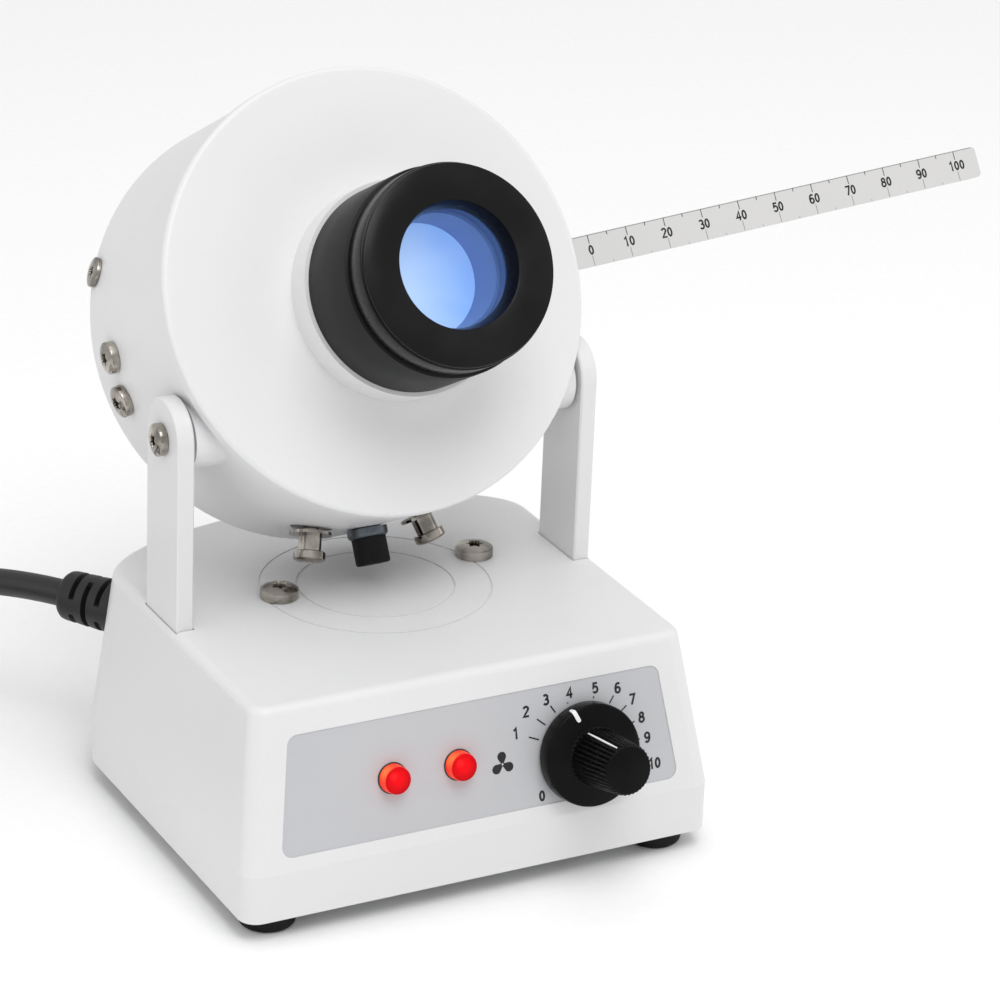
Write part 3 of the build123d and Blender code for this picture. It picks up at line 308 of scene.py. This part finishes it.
def lamp_side(x):
    """Orange-red side with a brighter spot where the light gathers."""
    g = Graph("lamp_side")
    place = PANEL @ shift(x, LAMP_UP, 0)
    fleck = g.noise(260, 3)
    tone = g.blend(g.spread(fleck, 0, 1), (0.80, 0.03, 0.010), (0.92, 0.05, 0.016))
    tone = g.blend(g.spread(g.away(place, (-3.4, 3.0, 2.0)), 0.8, 0, 0.5, 3.4), tone, (1.0, 0.19, 0.05))
    g.set(Base_Color=tone, Roughness=g.spread(fleck, 0.26, 0.36), Specular_IOR_Level=0.2)
    g.set(Emission_Color=tone, Emission_Strength=0.38)
    return g.material


def lit_screen():
    """Opal screen lit from behind, seen through the lens: paler on the left."""
    g = Graph("opal_screen")
    cloud = g.noise(28, 2, distortion=0.6)
    tone = g.blend(g.spread(g.away(EYE, (-18, -3, 21)), 0, 1, 4, 34), (0.60, 0.80, 1.0), (0.22, 0.44, 0.86))
    tone = g.blend(g.spread(cloud, 0, 0.35, 0.4, 0.7), tone, (0.72, 0.86, 1.0))
    g.set(Base_Color=tone, Roughness=0.5, Emission_Color=tone, Emission_Strength=0.72)
    return g.material


def blue_tube(name, first, second, glow):
    g = Graph(name)
    cloud = g.noise(30, 2)
    tone = g.blend(g.spread(cloud, 0, 1), first, second)
    g.set(Base_Color=tone, Roughness=g.spread(cloud, 0.28, 0.42))
    # Painted light: the emission makes the walls glow as if lit by the screen, though they are no lamp.
    g.set(Emission_Color=tone, Emission_Strength=glow)
    return g.material


paint = make_materials()

NODE_MATERIALS = {
    "casting": "base_housing left_arm right_arm arm_crossbar",
    "sheet": "drum_shell front_cover rear_cover",
    "collar": "eyepiece_collar",
    "panel": "control_panel",
    "rubber": "foot_front_left foot_front_right foot_rear_left foot_rear_right "
    "cable_bushing",
    "deep": "lens_retainer",
    "lens": "eye_lens",
    "clear": "sighting_lamp",
    "nylon": "friction_washers",
    "flange": "bushing_flange",
    "nickel": "under_collars plug_pins",
    "steel": "bottom_plate foot_screws knob_shaft board_standoffs lamp_bracket "
    "transformer_core heater_cartridges",
    "bare": "heating_block block_saddle",
    "ceramic": "ceramic_pillar capillary_guide",
    "strip": "thermometer",
    "copper": "transformer_winding",
    "board": "regulator_board",
    "dark": "potentiometer pilot_body_left pilot_body_right fan_frame fan_rotor "
    "terminal_block",
}


def dress_nodes():
    """Give each CAD node its material. A node that the scene replaces has no row and is hidden."""
    keys = {}
    for key, names in NODE_MATERIALS.items():
        for name in names.split():
            keys[name] = key
    for name, item in nodes.items():
        item.data.materials.clear()
        item.data.materials.append(paint[keys.get(name, "steel")])


dress_nodes()


# Mesh helpers
def circle(radius, z, count=64, wave=None):
    points = []
    for step in range(count):
        angle = 2 * pi * step / count
        reach = radius if wave is None else wave(angle, radius)
        points.append((reach * cos(angle), reach * sin(angle), z))
    return points


def arc(x, y, across, up, start, end, count=14):
    points = []
    for step in range(count + 1):
        angle = radians(start + (end - start) * step / count)
        points.append((x + across * cos(angle), y + up * sin(angle)))
    return points


SIX = [arc(0, -0.18, 0.22, 0.25, 0, 360), arc(0.03, -0.02, 0.25, 0.45, 50, 190)]
FIGURES = {
    "0": [arc(0, 0, 0.20, 0.41, 0, 360)],
    "1": [[(0.06, -0.5), (0.06, 0.5), (-0.16, 0.26)]],
    "2": [arc(0, 0.25, 0.22, 0.2, 170, -40) + [(-0.24, -0.43), (0.26, -0.43)]],
    "3": [arc(-0.02, 0.22, 0.2, 0.2, 150, -80) + arc(0, -0.2, 0.23, 0.24, 80, -150)],
    "4": [[(0.1, -0.5), (0.1, 0.45), (-0.26, -0.18), (0.28, -0.18)]],
    "5": [[(0.22, 0.43), (-0.14, 0.43), (-0.2, 0.02)] + arc(0, -0.14, 0.23, 0.28, 140, -150)],
    "6": SIX,
    "7": [[(-0.25, 0.43), (0.25, 0.43), (-0.06, -0.5)]],
    "8": [arc(0, 0.22, 0.18, 0.2, 0, 360), arc(0, -0.2, 0.23, 0.24, 0, 360)],
    "9": [[(-x, -y) for x, y in path] for path in SIX],
}
FIGURE_STEP = 0.66


class Shape:
    """Collects vertices and faces in millimetres and makes one object of them."""

    def __init__(self, name, place):
        self.name = name
        self.place = place
        self.points = []
        self.faces = []
        self.slots = []
        self.layer = 0

    def face(self, corners, slot=None):
        self.faces.append(corners)
        self.slots.append(self.layer if slot is None else slot)

    def skin(self, rings, local=None, slots=None):
        """Faces between rings that follow each other; a ring of one point is a tip."""
        starts = []
        for ring in rings:
            starts.append(len(self.points))
            for point in ring:
                moved = Vector(point) if local is None else local @ Vector(point)
                self.points.append(moved)
        for index in range(len(rings) - 1):
            slot = slots[index] if slots else None
            after = index + 1
            self.band(starts[index], len(rings[index]), starts[after], len(rings[after]), slot)

    def band(self, a, count_a, b, count_b, slot):
        count = max(count_a, count_b)
        for i in range(count):
            j = (i + 1) % count
            if count_a == 1:
                self.face((a, b + j, b + i), slot)
            elif count_b == 1:
                self.face((a + i, a + j, b), slot)
            else:
                self.face((a + i, a + j, b + j, b + i), slot)

    def prism(self, outline, bottom, top, local=None):
        """A flat outline of two numbers a point, between two heights."""
        lower = [(x, y, bottom) for x, y in outline]
        upper = [(x, y, top) for x, y in outline]
        first = len(self.points)
        self.skin([lower, upper], local)
        count = len(outline)
        self.face(tuple(reversed(range(first, first + count))))
        self.face(tuple(range(first + count, first + 2 * count)))

    def stroke(self, path, half, local, bottom=0.0, top=0.06):
        """A flat painted line of even width along a path, closed where its ends meet."""
        loop = (Vector(path[0]) - Vector(path[-1])).length < 1e-6
        if loop:
            path = path[:-1]
        count = len(path)
        rings = []
        for index, (x, y) in enumerate(path):
            here = Vector((x, y))
            before = Vector(path[index - 1]) if loop or index else None
            after = Vector(path[(index + 1) % count]) if loop or index + 1 < count else None
            into = (here - before).normalized() if before else (after - here).normalized()
            out = (after - here).normalized() if after else into
            along = (into + out).normalized()
            side = Vector((-along.y, along.x)) * half / max(0.6, along.dot(into))
            left, right = here + side, here - side
            rings.append([(*left, bottom), (*right, bottom), (*right, top), (*left, top)])
        first = len(self.points)
        self.skin(rings + rings[:1] if loop else rings, local)
        if not loop:
            self.face(tuple(first + i for i in (3, 2, 1, 0)))
            last = len(self.points) - 4
            self.face(tuple(last + i for i in (0, 1, 2, 3)))

    def figures(self, text, height, half, local, bottom=0.0, top=0.06):
        """Plain drawn figures, centred on their place."""
        for index, letter in enumerate(text):
            across = (index - (len(text) - 1) / 2) * FIGURE_STEP
            for path in FIGURES[letter]:
                placed = [((x + across) * height, y * height) for x, y in path]
                self.stroke(placed, half, local, bottom, top)

    def build(self, materials, body, replaces=(), sharp=32):
        mesh = bpy.data.meshes.new(self.name)
        mesh.from_pydata([self.place @ Vector(p) for p in self.points], [], self.faces)
        for key in materials:
            mesh.materials.append(paint[key])
        mesh.polygons.foreach_set("material_index", self.slots)
        mesh.validate()
        settle_normals(mesh)
        mesh.shade_smooth()
        mesh.set_sharp_from_angle(angle=radians(sharp))
        item = bpy.data.objects.new(self.name, mesh)
        bpy.context.scene.collection.objects.link(item)
        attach(item, body)
        if replaces:
            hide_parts(*replaces)
        return item


def settle_normals(mesh):
    work = bmesh.new()
    work.from_mesh(mesh)
    bmesh.ops.remove_doubles(work, verts=work.verts, dist=1e-7)
    bmesh.ops.recalc_face_normals(work, faces=work.faces)
    work.to_mesh(mesh)
    work.free()


# The lead
CORD_RADIUS = 4.5
TURN_POINTS = 16
COIL_X, COIL_Y = -238.0, 190.0
OUTER, INNER = 54.5, 45.5
LOWER, UPPER = 4.6, 13.6
ROUTE = [
    (-75.80, 152.39, 52.0),
    (-87.27, 168.77, 52.0),
    (-106.0, 205.0, 41.0),
    (-130.0, 229.0, 23.0),
    (-163.0, 245.0, 7.5),
    (-200.0, 247.5, 4.6),
]
PLUG_START = (-194.0, 135.5)


def between(value, start, end):
    share = min(1.0, max(0.0, (value - start) / (end - start)))
    return share * share * (3 - 2 * share)


def coil_points():
    """Two turns on the floor, from the outside in, and two on top, from the inside out."""
    points = []
    step = 360 / TURN_POINTS
    angle = 90.0
    while angle <= 1350.1:
        radius = OUTER - (OUTER - INNER) * between(angle, 385, 445)
        radius += (OUTER - INNER) * between(angle, 1095, 1155)
        height = LOWER + (UPPER - LOWER) * between(angle, 725, 795)
        reach = radius / ((3 + cos(radians(step))) / 4)
        x = COIL_X + reach * cos(radians(angle))
        y = COIL_Y + reach * sin(radians(angle))
        points.append((x, y, height))
        angle += step
    return points


def make_cord():
    start_x, line = PLUG_START
    end = [
        (start_x - 24, line, UPPER - 3.0),
        (start_x - 11, line, LOWER + 1.5),
        (start_x + 2, line, LOWER + 0.6),
    ]
    points = ROUTE + coil_points() + end
    curve = bpy.data.curves.new("mains_cord", "CURVE")
    curve.dimensions = "3D"
    spline = curve.splines.new("NURBS")
    spline.points.add(len(points) - 1)
    for point, place in zip(spline.points, points):
        point.co = (*(BASE @ Vector(place)), 1)
    spline.order_u = 3
    spline.use_endpoint_u = True
    spline.resolution_u = 8
    curve.bevel_depth = CORD_RADIUS * MM
    curve.bevel_resolution = 7
    curve.use_fill_caps = True
    curve.materials.append(paint["lead"])
    cord = bpy.data.objects.new("mains_cord", curve)
    bpy.context.scene.collection.objects.link(cord)
    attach(cord, "base")
    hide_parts("mains_lead", "lead_coil", "lead_tail")
    return cord


def rounded(width, height, power, x, count=48):
    """A ring of a superellipse across the plug, at one place along it."""
    points = []
    for step in range(count):
        angle = 2 * pi * step / count
        c, s = cos(angle), sin(angle)
        y = width / 2 * abs(c) ** (2 / power) * (1 if c > 0 else -1)
        z = height / 2 * abs(s) ** (2 / power) * (1 if s > 0 else -1)
        points.append((x, y, z))
    return points


def make_plug():
    """Moulded plug: a ribbed neck that swells into a flat grip, and a plain face."""
    x, y = PLUG_START
    place = BASE @ shift(x, y, 9.1)
    shape = Shape("plug_body", place)
    rings = [[(0.0, 0.0, -4.5)]]
    rows = []
    for step in range(25):
        share = step / 24
        swell = between(share, 0.12, 0.95)
        width = 9.4 + (34 - 9.4) * swell
        height = 9.4 + (18 - 9.4) * swell
        power = 2 + 2.2 * swell
        rib = 0.55 if step % 3 == 1 and share < 0.8 else 0.0
        drop = -4.5 * (1 - swell)
        ring = rounded(width - rib * 2, height - rib * 2, power, 18 * share)
        rows.append([(px, py, pz + drop) for px, py, pz in ring])
    rings += rows
    for depth, inset in ((24, 0), (33, 0.9), (40.2, 0.4), (41.4, 0.8), (42, 2.0)):
        rings.append(rounded(34 - 2 * inset, 18 - 2 * inset, 4.2, depth))
    rings.append([(42.0, 0.0, 0.0)])
    shape.skin(rings)
    return shape.build(["boot"], "base", ["mains_plug"], 40)


BOOT = BASE @ shift(-64.33, 136.01, 52.0) @ turn(35, "Z") @ turn(-90, "X")
BOOT_SLOTS = (4.6, 9.6, 14.6)
BOOT_WIDE, BOOT_NECK, BOOT_BORE = 8.9, 7.4, 4.4
BOOT_BACK, BOOT_SHOULDER = -5.5, -2.4
BOOT_TAPER = 0.035
SLOT_EDGES = ((-1.0, 0.0), (-0.75, 2.6), (0.75, 2.6), (1.0, 0.0))
BOOT_NOSE = ((8.25, 18.6), (8.0, 19.8), (7.3, 20.7), (6.2, 21.2), (5.2, 21.3), (4.4, 21.0))


def slotted(quarter, depth):
    """A slot that runs part of the way round, with a bridge on two sides."""
    def wave(angle, radius):
        bridge = cos(2 * angle + quarter * pi)
        return radius - depth * between(0.8 - bridge, 0.0, 0.15)
    return wave


def make_boot():
    """Slightly tapered strain relief with staggered slots and a rounded end."""
    count = 96
    shape = Shape("slotted_strain_relief", BOOT)
    rings = [circle(BOOT_BORE, BOOT_BACK, count), circle(BOOT_NECK, BOOT_BACK, count)]
    rings += [circle(BOOT_NECK, BOOT_SHOULDER, count), circle(BOOT_WIDE, BOOT_SHOULDER, count)]
    for index, middle in enumerate(BOOT_SLOTS):
        radius = BOOT_WIDE - BOOT_TAPER * middle
        for offset, depth in SLOT_EDGES:
            rings.append(circle(radius, middle + offset, count, slotted(index % 2, depth)))
    rings += [circle(radius, z, count) for radius, z in BOOT_NOSE]
    shape.skin(rings + rings[:1])
    return shape.build(["boot"], "base", ["strain_relief"], 40)


make_boot()
cord = make_cord()
plug = make_plug()


# Screws
def lobed(angle, radius):
    return radius * (0.86 + 0.17 * cos(6 * angle))


def screw_rings(size, length):
    """Pan head with a six-lobed recess, then its shank. The head stands on z = 0."""
    head, rise, shank = size
    side = rise * 0.58
    count = 72
    socket = head * 0.43
    floor = rise * 0.42

    def crown(radius):
        return side + (rise - side) * sqrt(max(0.0, 1 - (radius / (head * 1.02)) ** 2))

    rings = [[(0, 0, floor - 0.35)]]
    rings.append(circle(socket * 0.90, floor, count, lobed))
    rings.append(circle(socket * 0.96, crown(socket) - 0.35, count, lobed))
    rings.append(circle(socket * 1.05, crown(socket), count, lobed))
    for share in (0.52, 0.62, 0.72, 0.81, 0.89, 0.95, 0.985):
        rings.append(circle(head * share, crown(head * share), count))
    rings.append(circle(head, side * 0.98, count))
    rings.append(circle(head, 0.25, count))
    rings.append(circle(head - 0.25, 0.0, count))
    rings.append(circle(shank, 0.0, count))
    rings.append(circle(shank, -length + 0.4, count))
    rings.append(circle(shank - 0.4, -length, count))
    rings.append([(0, 0, -length)])
    return rings


# Head radius, head height and shank radius
LARGE = (6.2, 4.2, 3.0)
SMALL = (5.2, 3.6, 2.5)
FLAT = (4.9, 2.0, 2.0)


def make_screws(name, places, size, length, body, node, spin=0):
    shape = Shape(name, Matrix.Identity(4))
    for index, place in enumerate(places):
        local = place @ turn(spin + 23 * index, "Z")
        shape.skin(screw_rings(size, length), local)
    return shape.build(["nickel"], body, [node], 38)


PLATE_TOP = 73
PLATE_SCREWS = ((-32.5, 83.5), (39.5, 88.5))
PIVOT_X, PIVOT_Y, PIVOT_Z = 72.9, 83.9, 133.401
SIDE_SCREWS = ((52.5, -92.6), (54.9, -103.9))
REAR_SCREWS = ((65.9, -68.5), (65.9, 68.5))
UNDER_X, UNDER_BACK, UNDER_NECK = 19, 43, 7.5


def make_all_screws():
    top = [BASE @ shift(x, y, PLATE_TOP) for x, y in PLATE_SCREWS]
    make_screws("plate_screws", top, LARGE, 9.0, "base", "top_screws", 12)
    pivots = []
    for side in (-1, 1):
        pivots.append(BASE @ shift(side * PIVOT_X, PIVOT_Y, PIVOT_Z) @ turn(side * 90, "Y"))
    make_screws("arm_screws", pivots, SMALL, 20.6, "base", "pivot_screws", 20)
    sides = [radial(angle, back, DRUM) for back, angle in SIDE_SCREWS]
    make_screws("drum_side_screws", sides, SMALL, 8.0, "head", "side_screws", 5)
    rears = [radial(angle, back, DRUM) for back, angle in REAR_SCREWS]
    make_screws("back_cover_screws", rears, FLAT, 5.0, "head", "rear_cover_screws", 8)
    unders = []
    for side in (-1, 1):
        angle = 180 - degrees(asin(side * UNDER_X / DRUM))
        unders.append(radial(angle, UNDER_BACK, DRUM + UNDER_NECK))
    make_screws("hanging_screws", unders, SMALL, 17.5, "head", "under_screws", 15)


make_all_screws()


# Control panel
KNOB_X, KNOB_UP, KNOB_STANDOFF = 36.3, 18.9, 0.5
POINTER = -22.0
KNOB = PANEL @ shift(KNOB_X, KNOB_UP, KNOB_STANDOFF)
SKIRT = [(15.6, 0.0), (16.2, 0.25), (16.4, 0.8), (16.4, 5.2), (16.3, 5.65), (16.0, 5.9)]
CONE = [(15.6, 6.05), (13.4, 6.6), (11.4, 7.1), (9.75, 7.5)]
GRIP = [(9.45, 7.6, 0.2), (9.3, 8.0, 0.75), (8.7, 18.0, 0.75), (8.15, 26.9, 0.72), (7.95, 27.4, 0.45)]
GRIP_END = [(7.5, 27.9), (7.2, 28.0), (0.55, 28.0), (0.4, 27.75)]
FLUTES = 36
SHAFT, SHAFT_END = 3.06, 16.6


def fluted(depth):
    def wave(angle, radius):
        dip = 0.5 - 0.5 * cos(FLUTES * angle)
        return radius - depth * dip ** 1.5
    return wave


def make_knob():
    """Skirted knob: plain rim, a cone that rises to the grip, and a fluted grip."""
    count = FLUTES * 10
    shape = Shape("knob", KNOB)
    rings = [[(0, 0, SHAFT_END)], circle(SHAFT, SHAFT_END, count), circle(SHAFT, 0.0, count)]
    rings += [circle(radius, z, count) for radius, z in SKIRT + CONE]
    rings += [circle(radius, z, count, fluted(depth)) for radius, z, depth in GRIP]
    rings += [circle(radius, z, count) for radius, z in GRIP_END]
    rings.append([(0, 0, 27.6)])
    shape.skin(rings)
    return shape.build(["gloss"], "knob", ["control_knob"], 50)


def mark_along(shape, profile, half, lift):
    """A painted line along a list of radius and height, at the pointer's angle."""
    spin = turn(90 - POINTER, "Z")
    rings = []
    for index, (radius, z) in enumerate(profile):
        before = Vector(profile[max(0, index - 1)])
        after = Vector(profile[min(len(profile) - 1, index + 1)])
        along = (after - before).normalized()
        out = Vector((abs(along.y), abs(along.x)))
        high_r, high_z = radius + out.x * lift, z + out.y * lift
        low_r, low_z = radius - out.x * 0.15, z - out.y * 0.15
        width = half * (0.6 if index in (0, len(profile) - 1) else 1.0)
        ring = [(low_r, -width, low_z), (high_r, -width * 0.9, high_z)]
        ring += [(high_r, width * 0.9, high_z), (low_r, width, low_z)]
        rings.append(ring)
    shape.skin(rings, spin)
    first = len(shape.points) - 4 * len(rings)
    shape.face((first, first + 1, first + 2, first + 3))
    last = len(shape.points) - 4
    shape.face((last + 3, last + 2, last + 1, last))


def make_knob_marks():
    shape = Shape("knob_pointer", KNOB)
    rim = [(16.4, 3.4)] + SKIRT[3:] + CONE[:2] + [(12.8, 6.75)]
    mark_along(shape, rim, 0.75, 0.10)
    grip = [(9.2, 9.2), (8.9, 13.6), (8.6, 18.0), (8.3, 22.5), (8.05, 26.8)]
    mark_along(shape, grip, 0.32, 0.12)
    return shape.build(["chalk"], "knob", sharp=50)


# Each figure's angle from the top and its distance from the knob, from 0 to 10
DIAL = [
    (-126, 19.5), (-67, 25.5), (-50, 25.3), (-33, 22.5), (-11, 20.0), (15, 20.2),
    (36, 22.4), (53, 22.6), (71, 22.2), (89, 22.6), (109, 26.0),
]
TICK_ANGLES = {4: -16, 10: 105}
TICK_FROM, TICK_TO, TICK_LEAST = 16.9, 20.6, 17.2


def make_dial():
    """Ticks and the numbers 0 to 10 round the knob, printed on the panel."""
    shape = Shape("dial_print", PANEL @ shift(KNOB_X, KNOB_UP, -PANEL_SINK))
    for number, (angle, reach) in enumerate(DIAL):
        across, up = sin(radians(angle)) * reach, cos(radians(angle)) * reach
        shape.figures(str(number), 3.5, 0.36, shift(across, up, 0))
        tick = TICK_ANGLES.get(number, angle)
        end = min(reach - 2.7, TICK_TO)
        if end > TICK_LEAST:
            shape.stroke([(0, TICK_FROM), (0, end)], 0.22, turn(-tick, "Z"))
    return shape.build(["ink"], "base", sharp=60)


def blade_outline(distance, radius, hub, count=20):
    """Teardrop from the hub to a round end, pointing up."""
    lean = asin((radius - hub) / distance)
    points = []
    for step in range(count + 1):
        angle = -lean + (pi + 2 * lean) * step / count
        points.append((radius * cos(angle), distance + radius * sin(angle)))
    points.append((-hub, 0.0))
    points.append((hub, 0.0))
    return points


FAN_SIGN = (7.56, 20.07)
BLADE = (2.5, 1.5, 0.3)


def make_fan_sign():
    shape = Shape("fan_sign", PANEL @ shift(*FAN_SIGN, -PANEL_SINK))
    for step in range(3):
        shape.prism(blade_outline(*BLADE), 0.0, 0.06, turn(2 + 120 * step, "Z"))
    shape.layer = 1
    shape.skin([[(0, 0, 0.08)], circle(0.35, 0.08, 24), circle(0.35, 0.0, 24), [(0, 0, 0.0)]])
    return shape.build(["ink", "panel"], "base", sharp=60)


LAMP_SIDE = [(3.9, -0.4), (3.9, 0.05), (4.6, 0.05), (4.6, 0.5), (4.45, 3.5), (4.3, 4.1)]
LAMP_DOME = [(3.95, 4.45), (3.5, 4.5), (2.6, 4.72), (1.4, 4.88)]
LAMP_SEAT = [(4.0, 0.0), (4.0, 0.32), (4.85, 0.32), (5.0, 0.2), (5.0, 0.0), (4.0, 0.0)]


def make_lamps():
    """Red caps with a straight side and a softly domed front, each on a black seat."""
    for name, x in LAMPS:
        place = PANEL @ shift(x, LAMP_UP, -PANEL_SINK)
        cap = Shape("lamp_cap_" + name, place)
        rings = [circle(radius, z) for radius, z in LAMP_SIDE + LAMP_DOME]
        rings = [[(0, 0, -0.4)]] + rings + [[(0, 0, 4.95)]]
        cap.skin(rings, slots=[0] * len(LAMP_SIDE) + [1] * (len(LAMP_DOME) + 1))
        node = "pilot_lens_" + name
        cap.build(["lamp_side_" + name, "lamp_front_" + name], "base", [node], 50)
        seat = Shape("lamp_seat_" + name, place)
        seat.skin([circle(radius, z) for radius, z in LAMP_SEAT])
        seat.build(["satin"], "base", sharp=40)


make_knob()
make_knob_marks()
make_dial()
make_fan_sign()
make_lamps()


# Thermometer scale
ZERO_AT, HUNDRED_AT = 77.5, 220.8
STRIP_TOP = 5.2
PRINT_HEIGHTS = (1.08, 1.13)
THERMO_FROM, THERMO_TO = 72.0, 228.0


def make_scale():
    """Ticks from the strip's upper edge, one right across at each ten, and the numbers."""
    shape = Shape("scale_print", SCALE @ turn(90, "X"))
    bottom, top = PRINT_HEIGHTS
    for value in range(0, 101, 5):
        local = shift(ZERO_AT + (HUNDRED_AT - ZERO_AT) * value / 100, 0, 0)
        ten = value % 10 == 0
        shape.layer = 0
        length = 3.0 if ten else 1.3
        shape.stroke([(0, STRIP_TOP - length), (0, STRIP_TOP - 0.1)], 0.13, local, bottom, top)
        if ten:
            shape.figures(str(value), 3.2, 0.3, local @ shift(0.1, 0.1, 0), bottom, top)
        shape.layer = 1
        length = 3.4 if ten else 0.7
        shape.stroke([(0, 0.15 - STRIP_TOP), (0, length - STRIP_TOP)], 0.10, local, bottom, top)
    ends = [(THERMO_FROM, STRIP_TOP - 0.25), (THERMO_TO, STRIP_TOP - 0.25)]
    shape.stroke(ends, 0.1, Matrix.Identity(4), bottom, top)
    return shape.build(["ink", "faint"], "thermometer", sharp=60)


make_scale()


# Eyepiece
def lathe(name, place, profile, material, body, replaces=(), count=128, sharp=28):
    """A turned piece from a closed profile of radius and height."""
    shape = Shape(name, place)
    shape.skin([circle(radius, z, count) for radius, z in profile + profile[:1]])
    return shape.build([material], body, replaces, sharp)


BORE, BARREL = 28.05, 32.9
BARREL_BACK, BARREL_FRONT = 11.0, 39.5
SLEEVE, POCKET, SLEEVE_BACK = 28.0, 21.55, 19.8
RING_BACK, RING_FRONT = 39.8, 50.7
RING_EDGE = [(31.4, 39.8), (31.8, 39.95), (31.95, 40.3), (31.95, 48.6), (31.85, 48.95), (31.5, 49.15)]
RING_STEP = [(31.05, 49.2), (31.0, 49.55), (31.3, 49.65), (31.45, 49.85), (31.45, 50.25), (31.3, 50.55)]
RING_FACE = [(30.95, RING_FRONT), (20.15, RING_FRONT), (19.9, 50.62), (19.75, 50.4)]
RING_THROAT = [(18.35, 44.6), (18.45, 44.4), (POCKET, 43.95), (POCKET, SLEEVE_BACK)]


def make_eyepiece():
    """Fixed barrel, and the sliding ring with a step behind its face."""
    barrel = [(BORE, BARREL_BACK), (BARREL, BARREL_BACK), (BARREL, BARREL_FRONT - 0.4)]
    barrel += [(BARREL - 0.1, BARREL_FRONT - 0.15), (BARREL - 0.4, BARREL_FRONT), (BORE, BARREL_FRONT)]
    lathe("eyepiece_barrel_turned", EYE, barrel, "barrel", "head", ["eyepiece_barrel"])
    sleeve = [(SLEEVE, SLEEVE_BACK)]
    ring = [(SLEEVE, RING_BACK)] + RING_EDGE + RING_STEP + RING_FACE + RING_THROAT + sleeve
    lathe("eyepiece_ring_turned", EYE, ring, "ring", "eyepiece", ["eye_ring"])


SCREEN, SCREEN_BACK, SCREEN_FRONT, TUBE_END = 18.1, 20.8, 22.0, 36.8


def make_view():
    """Lit opal screen at the bottom of a blue tube, behind the lens."""
    screen = Shape("opal_screen", EYE)
    front, back = circle(SCREEN, SCREEN_FRONT, 96), circle(SCREEN, SCREEN_BACK, 96)
    screen.skin([[(0, 0, SCREEN_FRONT)], front, back, [(0, 0, SCREEN_BACK)]])
    screen.build(["view"], "head", sharp=40)
    tube = [(21.2, SCREEN_BACK), (21.2, TUBE_END), (18.5, TUBE_END), (SCREEN, SCREEN_BACK)]
    lathe("view_tube", EYE, tube, "tube", "head", count=96, sharp=40)


make_eyepiece()
make_view()


# Stage and light
FLOOR = 9.0


def make_floor():
    mesh = bpy.data.meshes.new("floor")
    corners = [(-FLOOR, -FLOOR, 0), (FLOOR, -FLOOR, 0), (FLOOR, FLOOR, 0), (-FLOOR, FLOOR, 0)]
    mesh.from_pydata(corners, [], [(0, 1, 2, 3)])
    g = Graph("floor_paper")
    grain = g.noise(300, 3)
    tone = g.blend(g.spread(grain, 0, 1), (0.965, 0.965, 0.965), (0.985, 0.985, 0.985))
    g.set(Base_Color=tone, Roughness=0.6, Specular_IOR_Level=0.25)
    mesh.materials.append(g.material)
    floor = bpy.data.objects.new("floor", mesh)
    bpy.context.scene.collection.objects.link(floor)


LIGHT_SIZE = 1.2
LIGHT_AIM = (0, 0, 0.12)


def area_light(name, spot, power):
    data = bpy.data.lights.new(name, "AREA")
    data.shape = "RECTANGLE"
    data.size, data.size_y = LIGHT_SIZE, LIGHT_SIZE
    data.energy = power
    light = bpy.data.objects.new(name, data)
    light.location = spot
    light.rotation_mode = "QUATERNION"
    light.rotation_quaternion = (Vector(LIGHT_AIM) - Vector(spot)).to_track_quat("-Z", "Y")
    bpy.context.scene.collection.objects.link(light)


def make_light():
    world = bpy.data.worlds.new("studio")
    world.use_nodes = True
    tree = world.node_tree
    background = tree.nodes["Background"]
    background.inputs["Color"].default_value = (1, 1, 1, 1)
    background.inputs["Strength"].default_value = 0.69
    bpy.context.scene.world = world
    area_light("key", (-0.2, -1.1, 2.0), 19.4)
    area_light("left", (-2.0, 0.1, 0.9), 2.9)
    area_light("right", (2.0, -0.3, 1.0), 3.75)
    area_light("top", (0, 0.1, 2.2), 3.6)
    bpy.context.scene.view_settings.view_transform = "Standard"


make_floor()
make_light()
